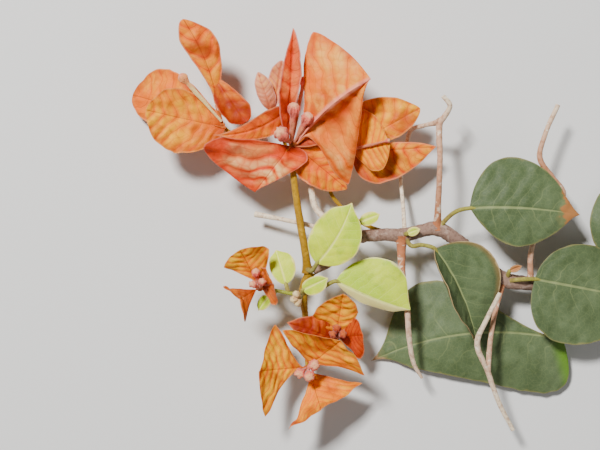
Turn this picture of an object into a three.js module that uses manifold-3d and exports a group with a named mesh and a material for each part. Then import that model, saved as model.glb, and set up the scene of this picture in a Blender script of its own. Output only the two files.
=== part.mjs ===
// A cut branch of flowering bougainvillea, laid flat, seen from above.
// Millimetres, +Z up. Places are measured from the fork where the woody branch divides
// into two flowering shoots: +X runs from the blooms to the cut end, +Y to the upper blooms.
import * as THREE from "three";
import { mergeVertices } from "three/addons/utils/BufferGeometryUtils.js";
import Module from "manifold-3d";

const wasm = await Module();
wasm.setup();

// Driving sizes
const LEAF_THICK = 0.9;
const BRACT_THICK = 0.7;
const SEAT_GAP = 0.3;
const SMALLEST_WING = 0.35;
const LIMB_SIDES = 8;
const THIN_LIMB = 1.7;
const THIN_LIMB_SIDES = 6;
const BALL_GRID = { around: 6, high: 4 };
const STEPS_PER_STRETCH = 2;
const LEAF_GRID = { rows: 9, columns: 3 };
const BRACT_GRID = { rows: 7, columns: 2 };
const SMALL_LEAF_GRID = { rows: 5, columns: 2 };
const SMALL_LEAF_LENGTH = 16;
const STALK_RADIUS = 0.7;
const TUBE_RADIUS = 0.6;
const CLAW_RADIUS = 0.7;
const BUD_HEAD = 1.9;
const HUB_RADIUS = 1.5;

// Where the fork stands, from the middle of the branch's own outline on the ground
const FORK = new THREE.Vector3(-38.5, -16.8, 0);

const LOOKS = {
  bark: new THREE.MeshStandardMaterial({ color: 0x7d6a5c, roughness: 0.85, metalness: 0 }),
  green_stem: new THREE.MeshStandardMaterial({ color: 0x8f8a3c, roughness: 0.7, metalness: 0 }),
  dry_twig: new THREE.MeshStandardMaterial({ color: 0xc9ad8c, roughness: 0.8, metalness: 0 }),
  bract: new THREE.MeshStandardMaterial({ color: 0xf0782c, roughness: 0.65, metalness: 0 }),
  pale_leaf: new THREE.MeshStandardMaterial({ color: 0xc3d27a, roughness: 0.6, metalness: 0 }),
  dark_leaf: new THREE.MeshStandardMaterial({ color: 0x5f8150, roughness: 0.55, metalness: 0 }),
  young_leaf: new THREE.MeshStandardMaterial({ color: 0xb0703f, roughness: 0.7, metalness: 0 }),
  bud: new THREE.MeshStandardMaterial({ color: 0xe3b4b0, roughness: 0.75, metalness: 0 }),
};

const point = ([x, y, z]) => new THREE.Vector3(x, y, z);
const radians = (degrees) => THREE.MathUtils.degToRad(degrees);

// A closed three.js geometry as a solid that can be joined and cut.
function solidOf(geometry) {
  const bare = geometry.clone();
  bare.deleteAttribute("normal");
  bare.deleteAttribute("uv");
  const merged = mergeVertices(bare, 1e-4);
  return new wasm.Manifold(new wasm.Mesh({
    numProp: 3,
    vertProperties: new Float32Array(merged.attributes.position.array),
    triVerts: new Uint32Array(merged.index.array),
  }));
}

// A closed skin over rings of points, each ring with the same number of points.
function skinOf(rings) {
  const count = rings[0].length;
  const corners = rings.flat();
  const faces = [];
  for (let row = 0; row < rings.length - 1; row += 1) {
    for (let side = 0; side < count; side += 1) {
      const here = row * count + side;
      const next = row * count + ((side + 1) % count);
      faces.push(here, next, next + count, here, next + count, here + count);
    }
  }
  const ends = [[0, true], [rings.length - 1, false]];
  for (const [row, first] of ends) {
    const middle = corners.length;
    const centre = new THREE.Vector3();
    rings[row].forEach((corner) => centre.addScaledVector(corner, 1 / count));
    corners.push(centre);
    for (let side = 0; side < count; side += 1) {
      const here = row * count + side;
      const next = row * count + ((side + 1) % count);
      faces.push(...(first ? [middle, next, here] : [middle, here, next]));
    }
  }
  const geometry = new THREE.BufferGeometry().setFromPoints(corners);
  geometry.setIndex(faces);
  return geometry;
}

// A tapering limb with round sections, through the given points.
function limb(places, radii, { grow = 0, stretch = STEPS_PER_STRETCH } = {}) {
  const curve = new THREE.CatmullRomCurve3(places.map(point), false, "centripetal");
  const steps = (places.length - 1) * stretch;
  const sides = Math.max(...radii) < THIN_LIMB ? THIN_LIMB_SIDES : LIMB_SIDES;
  const radiusAt = (t) => {
    const spot = t * (places.length - 1);
    const low = Math.min(Math.floor(spot), places.length - 2);
    return THREE.MathUtils.lerp(radii[low], radii[low + 1], spot - low) + grow;
  };
  const rings = [];
  let side = null;
  for (let step = 0; step <= steps; step += 1) {
    const t = step / steps;
    const centre = curve.getPoint(t);
    const along = curve.getTangent(t);
    const start = side ?? (Math.abs(along.z) < 0.9 ? new THREE.Vector3(0, 0, 1) : new THREE.Vector3(1, 0, 0));
    side = start.clone().addScaledVector(along, -start.dot(along)).normalize();
    const other = along.clone().cross(side);
    const ring = [];
    for (let corner = 0; corner < sides; corner += 1) {
      const turn = ((corner + 0.5) / sides) * 2 * Math.PI;
      ring.push(centre.clone()
        .addScaledVector(side, radiusAt(t) * Math.cos(turn))
        .addScaledVector(other, radiusAt(t) * Math.sin(turn)));
    }
    rings.push(ring);
  }
  return solidOf(skinOf(rings));
}

function ball(place, radius) {
  const sphere = new THREE.SphereGeometry(radius, BALL_GRID.around, BALL_GRID.high);
  sphere.rotateX(Math.PI / 2);
  sphere.translate(...place);
  return solidOf(sphere);
}

// One wing of a blade: its width, how far along it is widest, how sharply it narrows to both
// ends (1 is an ellipse, more is more pointed), its tilt up at the rib, the extra tilt at its
// margin, and how far it leans towards the tip.
function wing(wide, { widest = 0.42, sharp = 1.6, lift = 0, curl = 0, rake = 0 } = {}) {
  return { wide, widest, sharp, lift, curl, rake };
}

function widthAt({ wide, widest, sharp }, u) {
  const rise = Math.pow(u / widest, widest * sharp);
  const fall = Math.pow((1 - u) / (1 - widest), (1 - widest) * sharp);
  return Math.max(SMALLEST_WING, wide * rise * fall);
}

// A thin blade, as a leaf or a bract: a rib from base to tip, and a wing on either side of it.
// With no roll it faces up. Bow lifts the middle of the rib and sweep moves it to the right,
// both as shares of the length.
function blade({ base, tip, roll = 0, twist = 0, bow = 0, sweep = 0, left, right }, thick, grid) {
  const start = point(base);
  const reach = point(tip).sub(start);
  const length = reach.length();
  const along = reach.normalize();
  const up = new THREE.Vector3(0, 0, 1).addScaledVector(along, -along.z).normalize();
  const rows = [];
  for (let row = 0; row <= grid.rows; row += 1) {
    const u = 0.5 - 0.5 * Math.cos((Math.PI * row) / grid.rows);
    const turn = radians(roll + twist * (u - 0.5));
    const sideways = along.clone().cross(up);
    const face = up.clone().multiplyScalar(Math.cos(turn)).addScaledVector(sideways, Math.sin(turn));
    const across = along.clone().cross(face);
    const arch = 4 * u * (1 - u) * length;
    const slope = 4 * (1 - 2 * u);
    const rib = start.clone().addScaledVector(along, u * length)
      .addScaledVector(up, bow * arch)
      .addScaledVector(sideways, sweep * arch);
    const tangent = along.clone().addScaledVector(up, bow * slope)
      .addScaledVector(sideways, sweep * slope).normalize();
    const line = [rib];
    for (const [shape, side] of [[left, -1], [right, 1]]) {
      const width = widthAt(shape, u);
      const lean = radians(shape.rake);
      const outward = across.clone().multiplyScalar(side * Math.cos(lean))
        .addScaledVector(tangent, Math.sin(lean));
      const spot = rib.clone();
      for (let column = 1; column <= grid.columns; column += 1) {
        const tilt = radians(shape.lift + shape.curl * ((column - 0.5) / grid.columns));
        spot.addScaledVector(outward, (width / grid.columns) * Math.cos(tilt));
        spot.addScaledVector(face, (width / grid.columns) * Math.sin(tilt));
        if (side < 0) {
          line.unshift(spot.clone());
        } else {
          line.push(spot.clone());
        }
      }
    }
    rows.push(line);
  }
  const last = rows[0].length - 1;
  const rings = rows.map((line, row) => {
    const upper = [];
    const lower = [];
    line.forEach((spot, column) => {
      const ahead = rows[Math.min(row + 1, grid.rows)][column].clone()
        .sub(rows[Math.max(row - 1, 0)][column]);
      const beside = line[Math.min(column + 1, last)].clone().sub(line[Math.max(column - 1, 0)]);
      const normal = beside.cross(ahead).normalize();
      upper.push(spot.clone().addScaledVector(normal, thick / 2));
      lower.unshift(spot.clone().addScaledVector(normal, -thick / 2));
    });
    return [...upper, ...lower];
  });
  return solidOf(skinOf(rings));
}

function join(solids) {
  return solids.reduce((sum, next) => sum.add(next));
}

// The largest piece of a solid, which drops any scrap that a cut has left.
function mainPiece(solid) {
  return solid.decompose().sort((one, other) => other.volume() - one.volume())[0];
}

// The limbs: each has its points, the radius at each point, and the limb that it grows from.
const LIMBS = {
  woody_branch: {
    look: "bark",
    places: [[150, -26, 2.9], [125.5, -18, 5.5], [108, -12.5, 9], [93, -6.5, 13.5], [80.5, -4.5, 16],
      [72, 1.5, 18], [61.5, 11, 20], [52, 16.5, 21], [45, 15.5, 21.5], [39, 14, 22], [29, 14, 22.5],
      [19, 12.5, 23], [8.5, 3.5, 24], [1.5, -0.5, 24]],
    radii: [3.1, 3, 2.9, 2.8, 3.2, 2.7, 2.7, 3, 2.6, 2.9, 2.4, 2.5, 2.3, 1.9],
  },
  shoot_upper: {
    look: "green_stem",
    places: [[-0.5, -1, 24.5], [-1.2, 5, 26], [-4, 22, 25], [-5.6, 33, 21.5], [-6.5, 41, 17.5],
      [-6.9, 47.6, 18.4], [-6.8, 50.2, 21.4]],
    radii: [1.9, 1.6, 1.5, 1.4, 1.3, 1.2, 1.1],
    on: "woody_branch",
  },
  shoot_lower: {
    look: "green_stem",
    places: [[0.5, -1, 24], [-1.8, -5.5, 24.5], [-2.4, -10.6, 24.5], [-1.7, -16.8, 19.5], [-1, -23.4, 13.4],
      [-0.8, -28.6, 10.6]],
    radii: [1.8, 1.5, 1.9, 1.3, 1.2, 1.1],
    on: "woody_branch",
    clearOf: ["shoot_upper"],
  },
  stalk_left: {
    look: "green_stem",
    places: [[-2.4, -10.6, 25], [-6, -9.8, 26], [-12.5, -8.6, 26], [-18.9, -7.4, 26]],
    radii: [0.9, 0.8, 0.75, 0.75],
    on: "shoot_lower",
  },
  stalk_low_front: {
    look: "green_stem",
    places: [[-0.8, -27.8, 11.4], [-0.9, -34, 10.5], [-0.7, -40, 13]],
    radii: [0.9, 0.8, 0.8],
    on: "shoot_lower",
  },
  stalk_low_back: {
    look: "green_stem",
    places: [[-0.8, -27, 12], [5, -28.5, 10.8], [10.4, -28.6, 12.5]],
    radii: [0.8, 0.75, 0.75],
    on: "shoot_lower",
  },
  stalk_top_left: {
    look: "green_stem",
    places: [[-6.6, 42.5, 17.6], [-17.9, 47.8, 15.5], [-28.2, 52.8, 15.5], [-35, 58, 18.6]],
    radii: [0.9, 0.8, 0.8, 0.8],
    on: "shoot_upper",
  },
  stalk_top_young: {
    look: "green_stem",
    places: [[-6.8, 44.6, 18.2], [-11, 54, 17.5], [-14.5, 62, 20]],
    radii: [0.8, 0.7, 0.7],
    on: "shoot_upper",
    clearOf: ["stalk_top_left"],
  },
  stalk_top_right: {
    look: "green_stem",
    places: [[35, 14, 21], [22.6, 18.4, 15], [12, 27, 12], [8.8, 32.5, 12], [11.2, 40.5, 13], [16.3, 48, 16]],
    radii: [0.9, 0.8, 0.8, 0.8, 0.8, 0.8],
    on: "woody_branch",
  },
  dry_twig_tall: {
    look: "dry_twig",
    places: [[52, 17, 21.5], [52, 27.5, 27], [52.4, 44, 30], [52.8, 59.5, 26], [54.4, 61.5, 26],
      [56.6, 66, 28], [53.7, 69.7, 29]],
    radii: [1.5, 1.2, 1.1, 1.3, 0.9, 0.7, 0.4],
    on: "woody_branch",
  },
  dry_twig_arm: {
    look: "dry_twig",
    places: [[52.8, 59.5, 26], [47, 58.5, 20], [42, 57, 15], [40.5, 51.8, 11], [39.5, 45, 9],
      [38.2, 38.3, 9], [38.8, 26, 13], [39, 14.5, 20.5]],
    radii: [1, 0.9, 0.9, 0.9, 0.8, 0.8, 0.8, 0.9],
    on: "dry_twig_tall",
    clearOf: ["woody_branch"],
  },
  dry_twig_hanging: {
    look: "dry_twig",
    places: [[37.5, 13, 22], [37.6, -0.6, 24], [39.6, -14.7, 24], [40.6, -27, 22], [42.9, -38.7, 18],
      [46.3, -44.6, 16]],
    radii: [1.9, 1.4, 1.2, 1.1, 0.8, 0.4],
    on: "woody_branch",
  },
  dry_twig_short: {
    look: "dry_twig",
    places: [[91, -6, 13.8], [91.6, 10.2, 17], [101, 24.1, 17], [104, 31, 18], [99, 37.5, 20],
      [93.8, 45.2, 21], [96, 55, 21], [101.3, 66.8, 20]],
    radii: [1.2, 1.1, 1, 1, 1.1, 1.2, 1, 0.7],
    on: "woody_branch",
  },
  dry_twig_left: {
    look: "dry_twig",
    places: [[18, 12, 22.5], [1.3, 17.6, 16], [-11.8, 20.5, 13], [-22.2, 22.5, 10]],
    radii: [1, 1, 0.9, 1.2],
    on: "woody_branch",
  },
  dry_twig_white: {
    look: "dry_twig",
    places: [[20, 12.5, 22], [3.4, 24.2, 14], [0.9, 33.2, 12]],
    radii: [1.3, 1.3, 1.2],
    on: "woody_branch",
    clearOf: ["dry_twig_left"],
  },
};

// The forked dry twig: a stalk that divides into two arms.
const FORKED_TWIG = {
  stalk: { places: [[79.6, -5, 16.5], [76.5, -14.5, 20], [73.8, -26.6, 22], [72.6, -41.6, 22]],
    radii: [1.2, 1, 1, 1.1] },
  arms: [
    { places: [[72.6, -41.6, 22], [67.7, -29.5, 26], [70.6, -21.3, 28], [76.4, -9.2, 30]],
      radii: [1, 1.1, 0.8, 0.4] },
    { places: [[72.6, -41.6, 22], [77.5, -54.5, 19], [83.6, -65.9, 16]], radii: [1, 0.9, 0.6] },
  ],
};

// The leaves: each has its blade, its stalk's points before the blade's base, and the limb
// that the stalk grows from.
const LEAVES = {
  leaf_pale_upright: {
    look: "pale_leaf",
    base: [3.2, 2.9, 34],
    tip: [16.9, 26.7, 39],
    bow: 0.06,
    sweep: 0.06,
    left: wing(10.3, { widest: 0.45, sharp: 1.35, lift: 6, curl: -14 }),
    right: wing(9.8, { widest: 0.42, sharp: 1.3, lift: 4, curl: -10 }),
    stalk: [[-1, 0.5, 25.5], [1, -0.4, 29]],
    on: "shoot_upper",
  },
  leaf_pale_folded: {
    look: "pale_leaf",
    base: [10.8, -4.4, 30.6],
    tip: [40.7, -16.2, 27],
    sweep: 0.03,
    bow: 0.03,
    left: wing(16.5, { widest: 0.5, sharp: 1.25, lift: 4, curl: -16 }),
    right: wing(4.2, { widest: 0.5, sharp: 1.3, lift: -30, curl: -14 }),
    stalk: [[-2.2, -10, 25], [2.4, -8.2, 26], [6.4, -6.5, 28]],
    on: "shoot_lower",
  },
  leaf_pale_little: {
    look: "pale_leaf",
    base: [20.5, 19.2, 28],
    tip: [28.5, 22.4, 29],
    left: wing(2.6, { sharp: 1.2, lift: -5 }),
    right: wing(2.8, { sharp: 1.2, lift: -5 }),
    stalk: [[19.8, 13.5, 23]],
    on: "woody_branch",
  },
  leaf_pale_back: {
    look: "pale_leaf",
    base: [-9.3, -5.9, 23],
    tip: [-13.4, 7.8, 20],
    bow: 0.05,
    left: wing(4.5, { widest: 0.5, sharp: 1.1 }),
    right: wing(6, { widest: 0.5, sharp: 1.1 }),
    stalk: [[-8.2, -9.3, 26]],
    on: "stalk_left",
  },
  leaf_pale_under: {
    look: "pale_leaf",
    base: [-16.2, -10.6, 23],
    tip: [-20.6, -16.8, 21],
    left: wing(2.5, { sharp: 1.2 }),
    right: wing(2.5, { sharp: 1.2 }),
    stalk: [[-13.5, -8.6, 26]],
    on: "stalk_left",
  },
  leaf_pale_node: {
    look: "pale_leaf",
    base: [-2.4, -8, 28.5],
    tip: [7.6, -3.1, 32],
    bow: 0.05,
    left: wing(3.2, { widest: 0.4, sharp: 1 }),
    right: wing(4, { widest: 0.45, sharp: 1 }),
    stalk: [[-2.4, -10.6, 25]],
    on: "shoot_lower",
  },
  leaf_pale_tiny: {
    look: "pale_leaf",
    base: [39.6, 14.6, 26.5],
    tip: [44.6, 16.4, 29],
    left: wing(1.8, { sharp: 1.2 }),
    right: wing(1.8, { sharp: 1.2 }),
    stalk: [[38.5, 14, 22.5]],
    on: "woody_branch",
  },
  leaf_brown_young: {
    look: "young_leaf",
    base: [81.6, -0.6, 20.6],
    tip: [86.4, 1.4, 22],
    left: wing(1.5, { sharp: 1.4, lift: 20 }),
    right: wing(1.5, { sharp: 1.4, lift: 20 }),
    stalk: [[80.9, -4, 17]],
    on: "woody_branch",
    clearOf: ["dry_twig_forked"],
  },
  leaf_dark_top: {
    look: "dark_leaf",
    base: [64.9, 24.8, 26],
    tip: [109.5, 22, 24],
    bow: 0.05,
    sweep: -0.03,
    left: wing(21, { widest: 0.36, sharp: 1.5, lift: -2, curl: -14 }),
    right: wing(15.5, { widest: 0.46, sharp: 1.7, lift: -2, curl: -12 }),
    stalk: [[53, 17.5, 22], [58.9, 23.2, 25]],
    on: "woody_branch",
    clearOf: ["dry_twig_tall"],
  },
  leaf_dark_hanging: {
    look: "dark_leaf",
    base: [50.6, 8.4, 28],
    tip: [68, -30, 20],
    bow: 0.04,
    sweep: -0.06,
    left: wing(19, { widest: 0.34, sharp: 1.3, lift: -4, curl: -14 }),
    right: wing(16.5, { widest: 0.4, sharp: 1.5, lift: 45, curl: 50 }),
    stalk: [[39.2, 13, 22.5], [41.3, 9.6, 26], [45.4, 10, 28.3]],
    on: "woody_branch",
    clearOf: ["dry_twig_hanging"],
  },
  leaf_dark_right: {
    look: "dark_leaf",
    base: [92.1, -4, 19.5],
    tip: [139.2, -13, 9],
    bow: 0.05,
    left: wing(18, { widest: 0.42, sharp: 1.3, lift: 0, curl: -8 }),
    right: wing(24, { widest: 0.4, sharp: 1.1, lift: 6, curl: -8, rake: -8 }),
    stalk: [[80.4, -5, 17], [85.9, -4.2, 20.2]],
    on: "woody_branch",
    clearOf: ["dry_twig_forked"],
  },
  leaf_dark_low: {
    look: "dark_leaf",
    base: [105.5, -29.5, 8],
    tip: [26.2, -39, 1.2],
    bow: 0.06,
    sweep: 0.09,
    left: wing(26, { widest: 0.24, sharp: 1.3, lift: -6, curl: -12, rake: -10 }),
    right: wing(24.5, { widest: 0.68, sharp: 3.4, lift: -2, curl: -8 }),
    stalk: [[111, -14, 8.2], [109, -22.2, 8]],
    on: "woody_branch",
  },
  leaf_dark_end: {
    look: "dark_leaf",
    base: [142.6, 1.4, 7],
    tip: [129.6, 41, 1.6],
    bow: 0.06,
    left: wing(20, { widest: 0.44, sharp: 1.5, lift: -2, curl: -8 }),
    right: wing(14, { widest: 0.42, sharp: 1.5, lift: -2, curl: -8 }),
    stalk: [[141, -23, 4.2], [144.3, -9.8, 6.8]],
    on: "woody_branch",
  },
};

// The blooms: each is three bracts round a hub, with its flower tubes, each from a foot to a head.
const BLOOMS = {
  bloom_top_left: {
    hub: [-35.3, 58.7, 20],
    bracts: [
      { base: [-35.8, 60.4, 19], tip: [-73.6, 72.5, 1.4], bow: 0.1,
        left: wing(9, { widest: 0.7, sharp: 1.3 }),
        right: wing(14.5, { widest: 0.66, sharp: 1.4, lift: 5, curl: -15 }) },
      { base: [-34, 57.5, 20.5], tip: [-65.4, 64.2, 28], bow: -0.05,
        left: wing(14.5, { widest: 0.55, sharp: 1, lift: 8 }),
        right: wing(12, { widest: 0.62, sharp: 1.2, lift: 10, curl: 10 }) },
      { base: [-36, 61, 21], tip: [-49.9, 99.6, 36], bow: 0.04, sweep: 0.06,
        left: wing(6, { widest: 0.8, sharp: 2.4 }),
        right: wing(8, { widest: 0.72, sharp: 2.8, lift: -10 }) },
      { base: [-38.4, 78, 26.9], tip: [-25.3, 59.4, 27], bow: 0.04,
        left: wing(5.4, { widest: 0.78, sharp: 1.1, lift: -4, curl: -8 }),
        right: wing(7.1, { widest: 0.62, sharp: 0.9, lift: -8, curl: -24 }) },
    ],
    flowers: [{ foot: [-35.5, 60, 22], head: [-50.7, 77.2, 29], swell: 1.2 }],
  },
  bloom_top_middle: {
    hub: [-6.8, 50.7, 22.6],
    bracts: [
      { base: [-8.5, 52, 25.5], tip: [-6.4, 95.5, 40], bow: 0.03, roll: -10,
        left: wing(5, { widest: 0.42, sharp: 1.9, lift: 40 }),
        right: wing(5, { widest: 0.65, sharp: 1.7, lift: 25 }) },
      { base: [-8.8, 64, 29.4], tip: [-38.3, 53.9, 32], sweep: -0.1,
        left: wing(5.5, { widest: 0.26, sharp: 1.7, lift: -20 }),
        right: wing(5, { widest: 0.26, sharp: 1.8, lift: 20 }) },
      { base: [-7.6, 49.8, 24.5], tip: [-21.8, 31.4, 22], bow: 0.08,
        left: wing(11, { widest: 0.3, sharp: 2, lift: -6, rake: -34 }),
        right: wing(29, { widest: 0.62, sharp: 1.5, lift: 12, curl: 8, rake: 10 }) },
      { base: [-4.5, 51, 25.5], tip: [24.2, 75.2, 42], bow: 0.05, sweep: -0.06,
        left: wing(29, { widest: 0.82, sharp: 2.4, lift: -8, curl: -10 }),
        right: wing(39, { widest: 0.62, sharp: 5, lift: -10, curl: -12, rake: -38 }) },
      { base: [-5, 49.6, 23], tip: [15.6, 32.7, 17], bow: 0.04,
        left: wing(8, { widest: 0.45, sharp: 1.5, lift: -4 }),
        right: wing(9, { widest: 0.4, sharp: 1.1, lift: -8 }) },
      { base: [-6.4, 51, 24], tip: [7.4, 52.6, 29], sweep: -0.04,
        left: wing(2.4, { widest: 0.45, sharp: 0.9 }),
        right: wing(2.6, { widest: 0.45, sharp: 0.9 }) },
    ],
    flowers: [
      { foot: [-7.2, 51.5, 25.5], head: [-6, 64.5, 34], swell: 2.4 },
      { foot: [-5.8, 51.5, 25.5], head: [-0.6, 60.8, 33], swell: 2.4 },
      { foot: [-7.6, 51, 25.5], head: [-11.2, 54.6, 33], swell: 2.8 },
      { foot: [-6.6, 52, 25], head: [-2.2, 76, 31], swell: 1.5 },
    ],
  },
  bloom_top_right: {
    hub: [16.8, 48.6, 18],
    bracts: [
      { base: [17.4, 50, 18.5], tip: [45, 65.4, 22], bow: 0.05,
        left: wing(13.5, { widest: 0.42, sharp: 1.2, lift: 6 }),
        right: wing(6, { widest: 0.6, sharp: 1.3 }) },
      { base: [17.6, 48.4, 19], tip: [32.3, 50.3, 31], bow: -0.04,
        left: wing(16, { widest: 0.55, sharp: 1.5, lift: 0, rake: -10 }),
        right: wing(10, { widest: 0.55, sharp: 1.6, lift: -6 }) },
      { base: [17.6, 47.4, 18], tip: [52, 50, 18], bow: 0.04,
        left: wing(3, { widest: 0.5, sharp: 1.4 }),
        right: wing(13.5, { widest: 0.3, sharp: 1.3, lift: -6 }) },
    ],
    flowers: [{ foot: [17.6, 48.8, 19], head: [31.5, 51.6, 32.5], swell: 0.9 }],
  },
  bloom_top_young: {
    hub: [-14.9, 63.5, 21.5],
    bracts: [
      { base: [-15.4, 64.4, 22], tip: [-20.5, 79.5, 27], bow: 0.1,
        left: wing(3.6, { widest: 0.5, sharp: 1.2, lift: -10, curl: -20 }),
        right: wing(4.4, { widest: 0.45, sharp: 1.1, lift: -10, curl: -20 }) },
      { base: [-14.4, 64.6, 21.5], tip: [-10.8, 84.4, 25], bow: -0.06,
        left: wing(4.4, { widest: 0.6, sharp: 1.2, lift: 10 }),
        right: wing(3, { widest: 0.6, sharp: 1.2, lift: 10 }) },
    ],
    flowers: [],
  },
  bloom_left: {
    hub: [-19.8, -7.4, 26.2],
    bracts: [
      { base: [-19.9, -6.6, 26.8], tip: [-27.4, 8.1, 36], bow: -0.08,
        left: wing(9, { widest: 0.74, sharp: 2.4, lift: 4, rake: 8 }),
        right: wing(10.5, { widest: 0.66, sharp: 1.6, lift: 4 }) },
      { base: [-20.6, -7.6, 26.8], tip: [-27, -11.2, 37], bow: -0.1,
        left: wing(10, { widest: 0.74, sharp: 2.4, lift: -10, rake: 30 }),
        right: wing(10, { widest: 0.74, sharp: 2.4, lift: -10, rake: 40 }) },
      { base: [-19, -7.5, 26.8], tip: [-14, -5.5, 42], bow: -0.08,
        left: wing(8.5, { widest: 0.6, sharp: 2.2, lift: 4 }),
        right: wing(8.5, { widest: 0.5, sharp: 2.4, lift: 4, rake: -16 }) },
    ],
    flowers: [
      { foot: [-20, -7.2, 27], head: [-21.1, -0.7, 34], swell: 1.6 },
      { foot: [-20.2, -7.4, 27], head: [-22.4, -5.4, 36], swell: 1.5 },
      { foot: [-19.6, -7.2, 27], head: [-18.6, -4.4, 36], swell: 1.5 },
    ],
  },
  bloom_low_front: {
    hub: [-0.7, -40.6, 14.8],
    bracts: [
      { base: [-1.6, -40.4, 15.2], tip: [-20, -40.6, 30], bow: -0.1,
        left: wing(19, { widest: 0.78, sharp: 2.6, lift: -4, rake: 0 }),
        right: wing(18.5, { widest: 0.56, sharp: 3.4, lift: 0 }) },
      { base: [0.2, -39.8, 15.4], tip: [12.7, -27.7, 36], bow: -0.05,
        left: wing(20, { widest: 0.5, sharp: 3, lift: 14, rake: -16 }),
        right: wing(18, { widest: 0.6, sharp: 3.2, lift: 0, rake: 18 }) },
      { base: [0, -41.6, 15.2], tip: [4.8, -56, 30], bow: -0.1,
        left: wing(19, { widest: 0.5, sharp: 3.2, lift: -4, rake: 6 }),
        right: wing(17.5, { widest: 0.7, sharp: 3, lift: -10, rake: 28 }) },
    ],
    flowers: [
      { foot: [-0.4, -40.2, 15.5], head: [2, -38.3, 27], swell: 2.3 },
      { foot: [-1.2, -40.8, 15.5], head: [-3.8, -41.8, 26], swell: 2 },
      { foot: [-0.6, -41.2, 15.5], head: [0.2, -42.9, 27], swell: 2.2 },
    ],
  },
  bloom_low_back: {
    hub: [11.2, -28.4, 14],
    bracts: [
      { base: [11.2, -27.6, 14.6], tip: [13.6, -9.6, 29], bow: -0.06,
        left: wing(11, { widest: 0.5, sharp: 1.9, lift: 6, rake: -8 }),
        right: wing(7.5, { widest: 0.6, sharp: 1.5, lift: 6 }) },
      { base: [12, -28.4, 14], tip: [22, -26.5, 22], bow: -0.04,
        left: wing(8.5, { widest: 0.6, sharp: 2.8, lift: 4, rake: 12 }),
        right: wing(10, { widest: 0.6, sharp: 2.6, lift: -10 }) },
      { base: [10.4, -28.1, 14.6], tip: [-8.9, -21.6, 20], bow: 0.1,
        left: wing(4, { widest: 0.5, sharp: 1.6 }),
        right: wing(7, { widest: 0.4, sharp: 1.6, lift: -4 }) },
    ],
    flowers: [
      { foot: [11.2, -28, 14.6], head: [11.4, -23.7, 21], swell: 1.6 },
      { foot: [11, -28.2, 14.6], head: [9.8, -26.2, 22], swell: 1.5 },
      { foot: [11.6, -28.2, 14.6], head: [13.8, -26.2, 22], swell: 1.6 },
    ],
  },
};

// A cluster of closed flower buds, each on a short foot in the axil of the lower shoot.
const BUD_CLUSTER = {
  foot: [-3, -11, 26.4],
  heads: [[-5.2, -9.6, 29.5], [-6.2, -11.8, 29], [-4.6, -13.4, 28]],
};

const made = {};

function limbSolid(name, grow = 0) {
  if (name === "dry_twig_forked") {
    const { stalk, arms } = FORKED_TWIG;
    return join([stalk, ...arms].map(({ places, radii }) => limb(places, radii, { grow })));
  }
  return limb(LIMBS[name].places, LIMBS[name].radii, { grow });
}

// A piece is seated on its carrier, and kept off its close neighbours, with the same small gap.
function seated(solid, neighbours) {
  const cut = neighbours.reduce((rest, name) => rest.subtract(limbSolid(name, SEAT_GAP)), solid);
  return mainPiece(cut);
}

function keep(name, look, solid) {
  made[name] = { look, solid };
}

for (const [name, { look, on, clearOf = [] }] of Object.entries(LIMBS)) {
  const neighbours = on ? [on, ...clearOf] : clearOf;
  keep(name, look, seated(limbSolid(name), neighbours));
}
keep("dry_twig_forked", "dry_twig", seated(limbSolid("dry_twig_forked"), ["woody_branch"]));

for (const [name, leaf] of Object.entries(LEAVES)) {
  const line = [...leaf.stalk, leaf.base];
  const radii = line.map((place, index) => STALK_RADIUS * (1 + 0.3 * (1 - index / line.length)));
  const small = point(leaf.base).distanceTo(point(leaf.tip)) < SMALL_LEAF_LENGTH;
  const whole = join([blade(leaf, LEAF_THICK, small ? SMALL_LEAF_GRID : LEAF_GRID), limb(line, radii)]);
  keep(name, leaf.look, seated(whole, [leaf.on, ...(leaf.clearOf ?? [])]));
}

function flower({ foot, head, swell }) {
  const middle = point(foot).lerp(point(head), 0.6).toArray();
  return join([
    limb([foot, middle, head], [TUBE_RADIUS, TUBE_RADIUS, swell * 0.6], { stretch: 1 }),
    ball(head, swell),
  ]);
}

for (const [name, { hub, bracts, flowers }] of Object.entries(BLOOMS)) {
  const pieces = [
    ball(hub, HUB_RADIUS),
    ...bracts.map((bract) => blade(bract, BRACT_THICK, BRACT_GRID)),
    ...bracts.map(({ base }) => limb([hub, base], [CLAW_RADIUS, CLAW_RADIUS], { stretch: 1 })),
    ...flowers.map(flower),
  ];
  keep(name, "bract", mainPiece(join(pieces)));
}

// A bloom's stalk ends at the hub, with the seat's gap.
const STALK_OF = {
  bloom_top_left: "stalk_top_left",
  bloom_top_right: "stalk_top_right",
  bloom_top_young: "stalk_top_young",
  bloom_top_middle: "shoot_upper",
  bloom_left: "stalk_left",
  bloom_low_front: "stalk_low_front",
  bloom_low_back: "stalk_low_back",
};
for (const [bloom, stalk] of Object.entries(STALK_OF)) {
  const { hub } = BLOOMS[bloom];
  made[stalk].solid = mainPiece(made[stalk].solid.subtract(ball(hub, HUB_RADIUS + SEAT_GAP)));
}

const buds = BUD_CLUSTER.heads.map((head) => join([
  limb([BUD_CLUSTER.foot, head], [TUBE_RADIUS, TUBE_RADIUS], { stretch: 1 }),
  ball(head, BUD_HEAD),
]));
keep("bud_cluster", "bud", seated(join(buds), ["shoot_lower", "stalk_left"]));

// The plant as a scene graph, moved so that the fork stands where it should.
const plant = new THREE.Group();
plant.position.copy(FORK);
for (const [name, { look, solid }] of Object.entries(made)) {
  const { vertProperties, triVerts } = solid.getMesh();
  const geometry = new THREE.BufferGeometry();
  geometry.setAttribute("position", new THREE.BufferAttribute(vertProperties, 3));
  geometry.setIndex(new THREE.BufferAttribute(triVerts, 1));
  geometry.computeVertexNormals();
  const mesh = new THREE.Mesh(geometry, LOOKS[look]);
  mesh.name = name;
  plant.add(mesh);
}

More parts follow.
